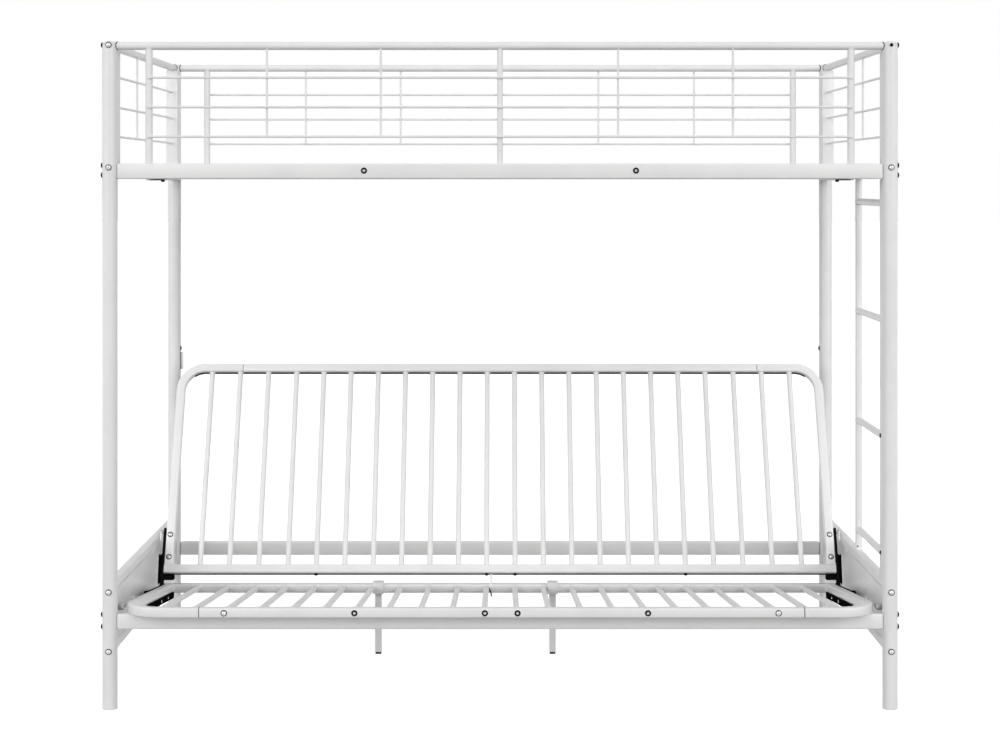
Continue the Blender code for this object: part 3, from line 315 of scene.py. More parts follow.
POST_RADIUS = POST_DIAMETER / 2
POST_X = POST_SPAN_X / 2
BACK_FACE = POST_SPAN_Y + POST_RADIUS
FUTON_HALF = FUTON_WIDTH / 2
SLAT_RADIUS = SLAT_DIAMETER / 2
GUARD_RADIUS = GUARD_TUBE_DIAMETER / 2
WIRE_RADIUS = WIRE_DIAMETER / 2
ROD_RADIUS = ROD_DIAMETER / 2
SEAT_SIDE_X = SEAT_HALF_WIDTH - FUTON_HALF
BACK_SIDE_X = BACK_HALF_WIDTH - FUTON_HALF
SEAT_SLOPE = (SEAT_FRONT_HEIGHT - SEAT_REAR_HEIGHT) / (SEAT_REAR_DEPTH - SEAT_LEVEL_DEPTH)
SIDES = {"left": -1, "right": 1}
ENDS = {"front": 0.0, "rear": POST_SPAN_Y}
X_AXIS = np.array((1.0, 0.0, 0.0))
Y_AXIS = np.array((0.0, 1.0, 0.0))
Z_AXIS = np.array((0.0, 0.0, 1.0))
# An axis with a larger share along X than this takes its side direction from Y
NEAR_X = 0.7


# Materials

def shader_of(material):
    """The material's Principled shader."""
    return material.node_tree.nodes["Principled BSDF"]


def new_material(name):
    """A material with its node tree on."""
    material = bpy.data.materials.new(name)
    material.use_nodes = True
    return material


def adjust(node, values):
    """Set a node's inputs by name."""
    for name, value in values.items():
        node.inputs[name].default_value = value


def feed(material, kind, factor, taken, given, target):
    """A node of some kind, between a factor and an input of the shader."""
    node = material.node_tree.nodes.new(kind)
    material.node_tree.links.new(factor, node.inputs[taken])
    material.node_tree.links.new(node.outputs[given], shader_of(material).inputs[target])
    return node


def add_noise(material, scale, detail, stretch=(1, 1, 1)):
    """Noise on Object coordinates, stretched along an axis where the finish has a grain."""
    nodes = material.node_tree.nodes
    links = material.node_tree.links
    place = nodes.new("ShaderNodeTexCoord")
    mapping = nodes.new("ShaderNodeMapping")
    adjust(mapping, {"Scale": stretch})
    noise = nodes.new("ShaderNodeTexNoise")
    adjust(noise, {"Scale": scale, "Detail": detail})
    links.new(place.outputs["Object"], mapping.inputs["Vector"])
    links.new(mapping.outputs["Vector"], noise.inputs["Vector"])
    return noise.outputs["Fac"]


def add_colour(material, factor, span, dark, light):
    """A base colour that turns from dark to light over a span of a factor's range."""
    ramp = feed(material, "ShaderNodeValToRGB", factor, "Fac", "Color", "Base Color")
    for element, position, colour in zip(ramp.color_ramp.elements, span, (dark, light)):
        element.position = position
        element.color = (*colour, 1)


def add_roughness(material, factor, low, high):
    """A roughness that a factor spreads between two values."""
    spread = feed(material, "ShaderNodeMapRange", factor, "Value", "Result", "Roughness")
    adjust(spread, {"To Min": low, "To Max": high})


def add_bump(material, factor, strength, distance):
    """Bump from a factor, into the shader's normal."""
    bump = feed(material, "ShaderNodeBump", factor, "Height", "Normal", "Normal")
    adjust(bump, {"Strength": strength, "Distance": distance})


def powder_coat():
    """White powder coat: a faint cloudiness, an orange-peel skin and a satin gloss."""
    material = new_material("white_powder_coat")
    add_colour(material, add_noise(material, *PAINT_CLOUDS), PAINT_SPAN, PAINT_DARK, PAINT_LIGHT)
    add_roughness(material, add_noise(material, *PAINT_PATCHES), *PAINT_ROUGHNESS)
    add_bump(material, add_noise(material, *PAINT_PEEL), *PAINT_BUMP)
    adjust(shader_of(material), {"Coat Weight": PAINT_COAT, "Coat Roughness": PAINT_COAT_ROUGHNESS})
    return material


def black_coat_and_painted_shade():
    """Black coated steel of the fold mechanism, matt and rubbed a little grey; also the black of the
    painted shade band over the stay links.
    """
    material = new_material("black_coated_steel_and_painted_shade")
    rub = add_noise(material, *BLACK_RUB)
    add_colour(material, rub, BLACK_SPAN, BLACK_STEEL, BLACK_WORN)
    add_roughness(material, rub, *BLACK_ROUGHNESS)
    add_bump(material, add_noise(material, *BLACK_GRAIN), *BLACK_BUMP)
    adjust(shader_of(material), {"Specular IOR Level": 0.0})
    return material


def zinc_plate():
    """Zinc plated fasteners with a mottled bloom."""
    material = new_material("zinc_plate")
    bloom = add_noise(material, *ZINC_BLOOM)
    add_colour(material, bloom, MIDDLE_SPAN, ZINC_DARK, ZINC_LIGHT)
    add_roughness(material, bloom, *ZINC_ROUGHNESS)
    adjust(shader_of(material), {"Metallic": 1.0})
    return material


def black_moulding_and_painted_shade():
    """Matt black plastic of the feet and washers; also the black of painted shade: the rings at the
    guards' joints, the strips under the back's tubes and the tie's tail.
    """
    material = new_material("black_moulding_and_painted_shade")
    speckle = add_noise(material, *PLASTIC_SPECKLE)
    add_colour(material, speckle, MIDDLE_SPAN, BLACK_PLASTIC, GREY_PLASTIC)
    add_roughness(material, speckle, *PLASTIC_ROUGHNESS)
    add_bump(material, speckle, *PLASTIC_BUMP)
    adjust(shader_of(material), {"Specular IOR Level": PLASTIC_SPECULAR})
    return material


LOOKS = {
    "white_paint": powder_coat(),
    "black_steel": black_coat_and_painted_shade(),
    "zinc": zinc_plate(),
    "black_plastic": black_moulding_and_painted_shade(),
}


# Shapes as grids of points

def place(depth, height, x=0.0):
    """A point at a depth behind the front posts, a height and an x."""
    return np.array((x, FRONT_Y + depth, height))


def unit(vector):
    """A vector of length one."""
    vector = np.asarray(vector, float)
    return vector / np.linalg.norm(vector)


def turned(profile, base, direction, sides=BAR_SIDES):
    """Rings of radius r at height h: base + h * axis + r * (cos a * side + sin a * other)."""
    profile = np.asarray(profile, float)
    axis = unit(direction)
    side = unit(np.cross(axis, X_AXIS if abs(axis[0]) < NEAR_X else Y_AXIS))
    other = np.cross(axis, side)
    angle = np.linspace(0, math.tau, sides, endpoint=False)[None, :, None]
    ring = np.cos(angle) * side + np.sin(angle) * other
    return base + profile[:, 1, None, None] * axis + profile[:, 0, None, None] * ring


def rod(start, end, radius, sides=WIRE_SIDES, edge=0.0):
    """A straight round bar with closed ends, its rims rounded off by an edge."""
    length = np.linalg.norm(end - start)
    profile = [(0, 0), (radius - edge, 0), (radius, edge),
               (radius, length - edge), (radius - edge, length), (0, length)]
    return turned(profile, start, end - start, sides)


def carried(outline, path, normal):
    """An outline carried along a flat path: the path + u * normal + v * (tangent x normal)."""
    path = np.asarray(path, float)
    tangent = np.gradient(path, axis=0)
    tangent /= np.linalg.norm(tangent, axis=1, keepdims=True)
    across = np.cross(tangent, unit(normal))
    rings = path[:, None] + outline[None, :, :1] * unit(normal) + outline[None, :, 1:] * across[:, None]
    return np.concatenate((rings[:1] * 0 + path[0], rings, rings[:1] * 0 + path[-1]))


def circle(radius, sides):
    """A circle's points."""
    angle = np.linspace(0, math.tau, sides, endpoint=False)
    return np.stack((radius * np.cos(angle), radius * np.sin(angle)), axis=1)


def rounded_rectangle(width, height, corner):
    """A rectangle whose corners are quarter circles."""
    turn = np.linspace(0, math.pi / 2, ROUND_STEPS)
    quarters = np.arange(4)[:, None] * math.pi / 2 + turn[None]
    centre_x = np.array((1, -1, -1, 1))[:, None] * (width / 2 - corner)
    centre_y = np.array((1, 1, -1, -1))[:, None] * (height / 2 - corner)
    x = centre_x + corner * np.cos(quarters)
    y = centre_y + corner * np.sin(quarters)
    return np.stack((x, y), axis=-1).reshape(-1, 2)


def soft_box(low, high, edge, tip=None):
    """A box with all edges rounded: rounded rectangles along its longest side.

    Near each end the rectangle is drawn in by tip * (1 - sin a) at a depth of tip * (1 - cos a).
    """
    tip = edge if tip is None else tip
    low = np.asarray(low, float)
    high = np.asarray(high, float)
    size = high - low
    along = int(np.argmax(size))
    first, second = [axis for axis in range(3) if axis != along]
    turn = np.linspace(0, math.pi / 2, ROUND_STEPS)
    drawn_in = tip * (1 - np.sin(turn))
    deep = tip * (1 - np.cos(turn))
    insets = np.concatenate((drawn_in, drawn_in[::-1]))
    levels = np.concatenate((deep, size[along] - deep[::-1]))
    outline = rounded_rectangle(size[first], size[second], edge)
    reach = np.array((size[first], size[second])) / 2
    scale = (reach - insets[:, None]) / reach
    rings = np.zeros((len(levels), len(outline), 3))
    rings[:, :, first] = outline[None, :, 0] * scale[:, :1]
    rings[:, :, second] = outline[None, :, 1] * scale[:, 1:]
    rings[:, :, along] = levels[:, None] - size[along] / 2
    caps = rings[[0, -1]].copy()
    caps[:, :, first] = 0
    caps[:, :, second] = 0
    return (low + high) / 2 + np.concatenate((caps[:1], rings, caps[1:]))


def bead(line, radial, away, seed, size=BEAD):
    """A weld bead along a closed line: a small rippled circle of radial and away directions."""
    turn = np.linspace(0, math.tau, len(line), endpoint=False)[None, :, None]
    around = np.linspace(0, math.tau, BEAD_SIDES, endpoint=False)[:, None, None]
    (often, small), (seldom, slight) = BEAD_RIPPLES
    ripple = small * np.sin(often * turn + seed) + slight * np.sin(seldom * turn + 2 * seed)
    swell = size * (1 + ripple)
    return line + swell * (np.cos(around) * radial + np.sin(around) * away)


def round_bead(centre, away, along, bar_radius, rail_radius, seed=0.0, flat=False, size=BEAD):
    """A weld bead where a round bar meets a rail, round or flat.

    Its line runs round the bar at r * (cos t * along + sin t * across) and stands off the
    rail's axis by the square root of R^2 - (r sin t)^2, or by R where the rail is flat.
    """
    away = unit(away)
    along = unit(along)
    across = np.cross(away, along)
    turn = np.linspace(0, math.tau, BAR_SIDES, endpoint=False)[:, None]
    radial = np.cos(turn) * along + np.sin(turn) * across
    drop = 0 if flat else bar_radius * np.sin(turn)
    stand = np.sqrt(rail_radius ** 2 - drop ** 2)
    return bead(centre + stand * away + bar_radius * radial, radial, away, seed, size)


def square_bead(centre, away, along, seed):
    """A weld bead round a square tube that stands on a flat face."""
    away = unit(away)
    across = np.cross(away, along)
    outline = rounded_rectangle(FUTON_WIDTH, FUTON_WIDTH, FUTON_EDGE)
    line = outline[:, :1] * along + outline[:, 1:] * across
    radial = line / np.linalg.norm(line, axis=1, keepdims=True)
    return bead(centre + line, radial, away, seed)


def spot(centre, radius):
    """A small round weld spot, a ball of stacked rings."""
    turn = np.linspace(-math.pi / 2, math.pi / 2, SPOT_STEPS)
    profile = np.stack((radius * np.cos(turn), radius * np.sin(turn)), axis=1)
    return turned(profile, centre, Z_AXIS, CORD_SIDES)


def bolt_head(base, direction, radius=BOLT_HEAD_RADIUS):
    """A button head with a hollow socket, standing on its washer."""
    washer = BOLT_WASHER_HEIGHT
    top = washer + BOLT_HEAD_HEIGHT
    turn = np.linspace(0, math.pi / 2, HEAD_STEPS)[:-1]
    dome = [(radius * math.cos(a), washer + BOLT_HEAD_HEIGHT * math.sin(a)) for a in turn]
    socket = min(BOLT_SOCKET_RADIUS, dome[-1][0] * BOLT_SOCKET_SHARE)
    profile = [(0, washer)] + dome + [
        (socket, top), (socket, top - BOLT_SOCKET_DEPTH), (0, top - BOLT_SOCKET_DEPTH),
    ]
    return turned(profile, base, direction, HEAD_SIDES)


def bolt_washer(base, direction):
    """A thin washer with a rounded rim."""
    radius = BOLT_WASHER_RADIUS
    height = BOLT_WASHER_HEIGHT
    profile = [(0, 0), (radius, 0), (radius, height / 2), (radius - height / 2, height), (0, height)]
    return turned(profile, base, direction)


def add_object(name, data):
    """An object that holds some data, in the scene."""
    item = bpy.data.objects.new(name, data)
    bpy.context.scene.collection.objects.link(item)
    return item


def make_piece(name, grids, slot, body, stands_for=(), rings=(), crease=CREASE):
    """Join point grids into one closed mesh, finish it, and let it ride on its body.

    Columns of a grid wrap round; rows wrap round too in the grids given as rings.
    """
    points = []
    quads = []
    count = 0
    for number, grid in enumerate(list(grids) + list(rings)):
        rows, columns = grid.shape[:2]
        index = np.arange(rows * columns).reshape(rows, columns) + count
        count += rows * columns
        below = np.roll(index, -1, axis=0)
        if number < len(grids):
            index, below = index[:-1], below[:-1]
        corners = (index, np.roll(index, -1, axis=1), np.roll(below, -1, axis=1), below)
        quads.append(np.stack(corners, axis=-1).reshape(-1, 4))
        points.append(grid.reshape(-1, 3))
    mesh = bpy.data.meshes.new(name)
    mesh.from_pydata(np.concatenate(points).tolist(), [], np.concatenate(quads).tolist())
    shape = bmesh.new()
    shape.from_mesh(mesh)
    bmesh.ops.remove_doubles(shape, verts=shape.verts, dist=MERGE_DISTANCE)
    bmesh.ops.recalc_face_normals(shape, faces=shape.faces)
    shape.to_mesh(mesh)
    shape.free()
    mesh.shade_smooth()
    mesh.set_sharp_from_angle(angle=math.radians(crease))
    item = add_object(name, mesh)
    mesh.materials.append(LOOKS[slot])
    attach(item, body)
    if stands_for:
        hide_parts(*stands_for)


def redraw(node, grids, body="bunk_frame", slot="white_paint", rings=()):
    """A finer piece in the place of a CAD node."""
    make_piece(f"look_{node}", grids, slot, body, [node], rings)


# Bunk frame

def make_posts():
    """Round posts with softened rims and pressed-in domed caps."""
    turn = np.linspace(0, math.pi / 2, DOME_STEPS)
    for end, depth in ENDS.items():
        for side, sign in SIDES.items():
            base = place(depth, 0, sign * POST_X)
            profile = [(0, 0), (POST_RADIUS - POST_EDGE, 0), (POST_RADIUS, POST_EDGE),
                       (POST_RADIUS, POST_TOP - POST_EDGE / 2),
                       (POST_RADIUS - POST_EDGE / 2, POST_TOP), (0, POST_TOP)]
            redraw(f"post_{end}_{side}", [turned(profile, base, Z_AXIS, POST_SIDES)])
            dome = [(0, 0), (POST_RADIUS - POST_EDGE / 2, 0)]
            dome += [(POST_RADIUS * math.cos(a), CAP_DOME * math.sin(a)) for a in turn]
            lifted = place(depth, POST_TOP + CAP_GAP, sign * POST_X)
            redraw(f"post_cap_{end}_{side}", [turned(dome, lifted, Z_AXIS, CAP_SIDES)])


def make_rails():
    """Rectangular rails with the rounded edges of drawn box tube."""
    for name in ("upper_side_rail_front", "upper_side_rail_rear", "upper_end_rail_left",
                 "upper_end_rail_right", "lower_rail_front", "lower_rail_rear"):
        redraw(name, [soft_box(*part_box(name), RAIL_EDGE)])


def make_long_guards():
    """Front and rear guards: top tube, uprights, rods and wires, with their weld spots."""
    for end, depth in ENDS.items():
        outward = -1 if end == "front" else 1
        reach = POST_X - POST_RADIUS + WELD_SINK
        grids = [rod(place(depth, GUARD_TOP_AXIS, -reach), place(depth, GUARD_TOP_AXIS, reach),
                     GUARD_RADIUS, TUBE_SIDES)]
        uprights = {-GUARD_END_UPRIGHT_X: GUARD_END_UPRIGHT_DIAMETER, 0.0: GUARD_MID_UPRIGHT_DIAMETER,
                    GUARD_END_UPRIGHT_X: GUARD_END_UPRIGHT_DIAMETER}
        wire_depth = depth + outward * (GUARD_MID_UPRIGHT_DIAMETER / 2 + WIRE_RADIUS - WELD_SINK)
        rod_depth = wire_depth - outward * (WIRE_RADIUS + ROD_RADIUS - WELD_SINK)
        rings = []
        for x, diameter in uprights.items():
            grids.append(rod(place(depth, GUARD_FOOT, x), place(depth, GUARD_TOP_AXIS, x),
                             diameter / 2, BAR_SIDES))
            rings.append(round_bead(place(depth, GUARD_TOP_AXIS, x), -Z_AXIS, X_AXIS,
                                     diameter / 2, GUARD_RADIUS, x))
            spot_depth = depth + outward * diameter / 2
            grids += [spot(place(spot_depth, height - WIRE_RADIUS * lift, x), SPOT_WELD)
                      for height in WIRE_HEIGHTS for lift in (-1, 1)]
        tail = GUARD_END_UPRIGHT_X + WIRE_TAIL
        for height in WIRE_HEIGHTS:
            grids.append(rod(place(wire_depth, height, -tail), place(wire_depth, height, tail),
                             WIRE_RADIUS, WIRE_SIDES, WIRE_RADIUS / 4))
        foot = WIRE_HEIGHTS[-1] - WIRE_RADIUS / 2
        for share in ROD_SHARES:
            x = GUARD_END_UPRIGHT_X * share
            grids.append(rod(place(rod_depth, foot, x), place(rod_depth, GUARD_TOP_AXIS, x),
                             ROD_RADIUS, THIN_ROD_SIDES))
        redraw(f"guard_{end}", grids, rings=rings)


def make_end_guards():
    """End guards: top tube, strips beside the posts, rods and wires."""
    for side, sign in SIDES.items():
        x = sign * POST_X
        first = POST_RADIUS - WELD_SINK
        last = POST_SPAN_Y - first
        grids = [rod(place(first, GUARD_TOP_AXIS, x), place(last, GUARD_TOP_AXIS, x), GUARD_RADIUS,
                     TUBE_SIDES)]
        half = STRIP_WIDTH / 2
        near = POST_RADIUS + CAP_GAP
        far = POST_SPAN_Y - near - STRIP_DEPTH
        for start in (near, far):
            grids.append(soft_box(place(start, GUARD_FOOT, x - half),
                                  place(start + STRIP_DEPTH, STRIP_TOP, x + half), STRIP_EDGE))
        for height in END_WIRE_HEIGHTS:
            grids.append(rod(place(near + STRIP_DEPTH - WELD_SINK, height, x),
                             place(far + WELD_SINK, height, x), WIRE_RADIUS))
            grids += [spot(place(stop, height, x), END_SPOT_WELD) for stop in (near + STRIP_DEPTH, far)]
        rod_x = x - sign * (WIRE_RADIUS + ROD_RADIUS - WELD_SINK)
        foot = END_WIRE_HEIGHTS[-1] - WIRE_RADIUS / 2
        for depth in END_ROD_DEPTHS:
            grids.append(rod(place(depth, foot, rod_x), place(depth, GUARD_TOP_AXIS, rod_x),
                             ROD_RADIUS, THIN_ROD_SIDES))
        redraw(f"guard_end_{side}", grids)


def make_deck():
    """Slat deck: three long bars and the cross slats on them, with soft edges."""
    low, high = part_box("slat_deck")
    seat = DECK_TOP - DECK_SLAT_THICKNESS / 2
    middle = (low[1] + high[1]) / 2
    grids = []
    for start in (low[1], middle - DECK_BAR_WIDTH / 2, high[1] - DECK_BAR_WIDTH):
        end = start + DECK_BAR_WIDTH
        grids.append(soft_box((low[0], start, low[2]), (high[0], end, seat), SLAT_EDGE))
    first = high[0] - DECK_INSET - DECK_SLAT_WIDTH / 2
    for x in np.linspace(-first, first, DECK_SLAT_COUNT):
        grids.append(soft_box((x - DECK_SLAT_WIDTH / 2, low[1] + DECK_BAR_WIDTH / 4,
                               DECK_TOP - DECK_SLAT_THICKNESS),
                              (x + DECK_SLAT_WIDTH / 2, high[1] - DECK_BAR_WIDTH / 4, DECK_TOP),
                              SLAT_EDGE))
    redraw("slat_deck", grids)


def make_end_panels():
    """Pressed end panels: a loop round the panel's section carried along the depth.

    Each face is sunk by the recess times a smooth step of the distance inside a rounded
    rectangle. Heights are scaled about the top so that the bottom edge rises, save at the
    lug for the stay link's pivot, by rise * (1 - e^-(u^4)), u the distance over its half width.
    """
    for side in SIDES:
        low, high = (np.array(corner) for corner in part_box(f"end_panel_{side}"))
        thick = (high[0] - low[0]) / 2
        centre = (low + high) / 2
        depths = np.linspace(low[1], high[1], PANEL_STEPS[0])
        heights = np.linspace(low[2] + PANEL_EDGE, high[2] - PANEL_EDGE, PANEL_STEPS[1])
        turn = np.linspace(math.pi / 2, 0, EDGE_STEPS)[1:-1]
        top = high[2] - PANEL_EDGE + PANEL_EDGE * np.cos(turn)
        bottom = low[2] + PANEL_EDGE - PANEL_EDGE * np.cos(turn)
        inset = thick - PANEL_EDGE + PANEL_EDGE * np.sin(turn)
        section_z = np.concatenate((heights, top, top[::-1], heights[::-1], bottom, bottom[::-1]))
        section_x = np.concatenate((heights * 0 + thick, inset, -inset[::-1],
                                    heights * 0 - thick, -inset, inset[::-1]))
        field = (high - low) / 2 - PANEL_BORDER - PANEL_CORNER
        field_y = np.abs(depths - centre[1])[:, None] - field[1]
        field_z = np.abs(section_z - centre[2])[None] - field[2]
        outside = np.hypot(np.maximum(field_y, 0), np.maximum(field_z, 0))
        inside = np.minimum(np.maximum(field_y, field_z), 0)
        sink = np.clip((PANEL_CORNER - outside - inside) / PANEL_SLOPE, 0, 1)
        sink = sink * sink * (3 - 2 * sink)
        grid = np.zeros((len(depths), len(section_z), 3))
        grid[:, :, 0] = centre[0] + section_x - np.sign(section_x) * PANEL_RECESS * sink
        grid[:, :, 1] = depths[:, None]
        lug = np.exp(-(((depths - FRONT_Y - LINK_FOOT[0]) / PANEL_LUG_HALF) ** 4))
        squeeze = 1 - PANEL_RISE * (1 - lug) / (high[2] - low[2])
        grid[:, :, 2] = high[2] - (high[2] - section_z)[None] * squeeze[:, None]
        caps = np.broadcast_to(centre, (2, len(section_z), 3)).copy()
        caps[0, :, 1] = low[1]
        caps[1, :, 1] = high[1]
        redraw(f"end_panel_{side}", [np.concatenate((caps[:1], grid, caps[1:]))])


def make_ladder():
    """Ladder: strip behind the front post, round upright and rungs with weld beads."""
    redraw("ladder_front_upright", [soft_box(*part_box("ladder_front_upright"), STRIP_EDGE)])
    radius = LADDER_TUBE_DIAMETER / 2
    low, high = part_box("ladder_rear_upright")
    foot = place(LADDER_REAR_DEPTH, low[2], POST_X)
    head = place(LADDER_REAR_DEPTH, high[2], POST_X)
    redraw("ladder_rear_upright", [rod(foot, head, radius, TUBE_SIDES)])
    for number in range(1, LADDER_RUNGS + 1):
        name = f"ladder_rung_{number}"
        low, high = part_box(name)
        height = (low[2] + high[2]) / 2
        start = np.array((POST_X, low[1] - CAP_GAP, height))
        end = np.array((POST_X, high[1] + CAP_GAP, height))
        weld = round_bead(place(LADDER_REAR_DEPTH, height, POST_X), -Y_AXIS, Z_AXIS,
                          radius * RUNG_BEAD_SHARE, radius, number)
        redraw(name, [rod(start, end, radius, TUBE_SIDES)], rings=[weld])


# Futon

def slat_places(shift):
    """Slats' x: near pitches counted from the middle, and wider ones beyond the near reach."""
    number = np.arange(SLAT_COUNT) - (SLAT_COUNT - 1) / 2
    near = np.minimum(np.abs(number), SLAT_NEAR_REACH)
    return shift + np.sign(number) * (near * SLAT_NEAR_PITCH + (np.abs(number) - near) * SLAT_FAR_PITCH)


def seat_height(depth):
    """Height of the seat's side tubes at a depth."""
    return SEAT_FRONT_HEIGHT - max(depth - SEAT_LEVEL_DEPTH, 0) * SEAT_SLOPE


BACK_SPAN = math.hypot(BACK_TOP_DEPTH - BACK_BOTTOM_DEPTH, BACK_TOP_HEIGHT - BACK_BOTTOM_HEIGHT)
BACK_UP = unit((0, BACK_TOP_DEPTH - BACK_BOTTOM_DEPTH, BACK_TOP_HEIGHT - BACK_BOTTOM_HEIGHT))


def lean(grid):
    """Stand a grid drawn flat, with the bottom rail on its X axis, in the back's plane."""
    origin = place(BACK_BOTTOM_DEPTH, BACK_BOTTOM_HEIGHT)
    return origin + grid @ np.stack((X_AXIS, BACK_UP, np.cross(X_AXIS, BACK_UP)))


def futon_bar(reach, half_length):
    """A square bar along X with rounded edges, at a reach up from the X axis."""
    corner = np.array((half_length, FUTON_HALF, FUTON_HALF))
    shift = np.array((0, reach, 0))
    return soft_box(shift - corner, shift + corner, FUTON_EDGE, FUTON_END_EDGE)


def seam_sleeve(x):
    """The dark inner sleeve that shows in the seam between two tubes."""
    half = FUTON_HALF - FUTON_END_EDGE
    middle = np.array((x, 0, 0))
    corner = np.array((FUTON_WIDTH, half, half))
    return soft_box(middle - corner, middle + corner, FUTON_EDGE - FUTON_END_EDGE)


def make_seat():
    """Square seat tubes with round corners, and the rear rail with its welded slats."""
    front = place(SEAT_FRONT_DEPTH, SEAT_FRONT_HEIGHT)
    tube = front + SEAT_SEAM_SHIFT * X_AXIS + futon_bar(0, SEAT_SEAM_X - SEAM_WIDTH / 2)
    redraw("seat_front_tube", [tube], "seat")
    seams = {side: sign * SEAT_SEAM_X + SEAT_SEAM_SHIFT for side, sign in SIDES.items()}
    sleeves = [front + seam_sleeve(x) for x in seams.values()]
    make_piece("look_seat_seams", sleeves, "black_plastic", "seat")
    turn = np.linspace(0, math.pi / 2, BEND_STEPS)
    square = rounded_rectangle(FUTON_WIDTH, FUTON_WIDTH, FUTON_EDGE)
    end = SEAT_REAR_DEPTH - FUTON_HALF
    for side, sign in SIDES.items():
        corner = np.stack((
            sign * (SEAT_SIDE_X - SEAT_CORNER + SEAT_CORNER * np.sin(turn)),
            FRONT_Y + SEAT_FRONT_DEPTH + SEAT_CORNER * (1 - np.cos(turn)),
            turn * 0 + SEAT_FRONT_HEIGHT), axis=1)
        depths = np.array((SEAT_LEVEL_DEPTH - SEAT_KNEE, SEAT_LEVEL_DEPTH, SEAT_LEVEL_DEPTH + SEAT_KNEE,
                           end - CAP_GAP))
        run = np.stack([place(depth, seat_height(depth), sign * SEAT_SIDE_X) for depth in depths])
        seam = front + (seams[side] + sign * SEAM_WIDTH / 2) * X_AXIS
        path = np.concatenate((seam[None], corner, run))
        weld = square_bead(place(end, seat_height(end), sign * SEAT_SIDE_X), -Y_AXIS, X_AXIS, sign)
        redraw(f"seat_side_tube_{side}", [carried(square, path, Z_AXIS)], "seat", rings=[weld])
    rear = place(SEAT_REAR_DEPTH, SEAT_REAR_HEIGHT)
    start = place(SEAT_FRONT_DEPTH + FUTON_HALF - WELD_SINK, SEAT_FRONT_HEIGHT + SEAT_SLAT_LIFT)
    grids = [rear + futon_bar(0, SEAT_HALF_WIDTH)]
    rings = []
    direction = unit(rear - start)
    landing = rear - direction * FUTON_HALF / direction[1]
    for number, x in enumerate(slat_places(SEAT_SLAT_SHIFT)):
        shift = x * X_AXIS
        grids.append(rod(start + shift, rear + shift, SLAT_RADIUS, BAR_SIDES))
        rings.append(round_bead(landing + shift, -Y_AXIS, X_AXIS, SLAT_RADIUS, 0, number, True,
                                SEAT_BEAD))
        rings.append(round_bead(start + shift, Y_AXIS, X_AXIS, SLAT_RADIUS, WELD_SINK,
                                number + 0.5, True))
    redraw("seat_slat_grid", grids, "seat", rings=rings)


def back_corner(turn, sign):
    """The back's round top corner, flat: its centre + corner * (cos a, sin a)."""
    return np.stack((sign * (BACK_SIDE_X - BACK_CORNER + BACK_CORNER * np.cos(turn)),
                     BACK_SPAN - BACK_CORNER + BACK_CORNER * np.sin(turn), turn * 0), axis=1)


def make_back():
    """Square back tubes with round corners, and the bottom rail with its welded slats."""
    redraw("back_top_tube", [lean(futon_bar(BACK_SPAN, SEAM_X - SEAM_WIDTH / 2))], "back")
    turn = np.linspace(0, math.pi / 2, BEND_STEPS)
    square = rounded_rectangle(FUTON_WIDTH, FUTON_WIDTH, FUTON_EDGE)
    for side, sign in SIDES.items():
        foot = np.array(((sign * BACK_SIDE_X, FUTON_HALF + CAP_GAP, 0),))
        seam = np.array(((sign * (SEAM_X + SEAM_WIDTH / 2), BACK_SPAN, 0),))
        path = np.concatenate((foot, back_corner(turn, sign), seam))
        weld = lean(square_bead(np.array((sign * BACK_SIDE_X, FUTON_HALF, 0)), Y_AXIS, X_AXIS, sign))
        redraw(f"back_side_tube_{side}", [lean(carried(square, path, Z_AXIS))], "back", rings=[weld])
    grids = [lean(futon_bar(0, BACK_HALF_WIDTH))]
    rings = []
    for number, x in enumerate(slat_places(BACK_SLAT_SHIFT)):
        head = BACK_SPAN - FUTON_HALF
        foot = np.array((x, 0, 0))
        grids.append(lean(rod(foot, foot + (head - CAP_GAP) * Y_AXIS, SLAT_RADIUS, BAR_SIDES)))
        rings.append(lean(round_bead(foot, Y_AXIS, X_AXIS, SLAT_RADIUS, FUTON_HALF, number, True)))
        rings.append(lean(round_bead(foot + BACK_SPAN * Y_AXIS, -Y_AXIS, X_AXIS, SLAT_RADIUS,
                                     FUTON_HALF, number + 0.5, True)))
    redraw("back_slat_grid", grids, "back", rings=rings)


def make_painted_shade_strips():
    """Painted shade: black strips on the undersides of the back's top tube and bottom rail, on their
    rear half, for the shade under them.
    """
    outline = rounded_rectangle(SHADE_STRIP_WIDTH, SHADE_STRIP_THICKNESS, SHADE_STRIP_THICKNESS * STRAP_ROUND)
    outline = outline + np.array((-SHADE_STRIP_WIDTH / 2, FUTON_HALF + SHADE_STRIP_THICKNESS / 2 - CAP_GAP))
    turn = np.linspace(SHADE_STRIP_TURN, math.pi / 2, ARC_STEPS)
    top = np.concatenate((back_corner(turn, -1), back_corner(turn, 1)[::-1]))
    reach = BACK_HALF_WIDTH - FUTON_EDGE
    bottom = np.array(((-reach, 0, 0), (reach, 0, 0)))
    # Black strips as painted shade under the back's tubes
    make_piece("back_painted_shade_strips", [lean(carried(outline, path, Z_AXIS)) for path in (top, bottom)],
               "black_plastic", "back")


# Fasteners and small pieces

def make_bolts(name, spots, slot, body, stands_for=(), radius=BOLT_HEAD_RADIUS):
    """Button heads on dark washers at each (point, direction)."""
    heads = [bolt_head(base, direction, radius) for base, direction in spots]
    washers = [bolt_washer(base, direction) for base, direction in spots]
    make_piece(f"{name}_heads", heads, slot, body, stands_for)
    make_piece(f"{name}_washers", washers, "black_plastic", body)


def flat_head(base, direction, radius, height):
    """A low rivet or screw head."""
    top = radius * RIVET_TOP_SHARE
    profile = [(0, 0), (radius, 0), (radius, height / 3), (top, height), (0, height)]
    return turned(profile, base, direction, RIVET_SIDES)


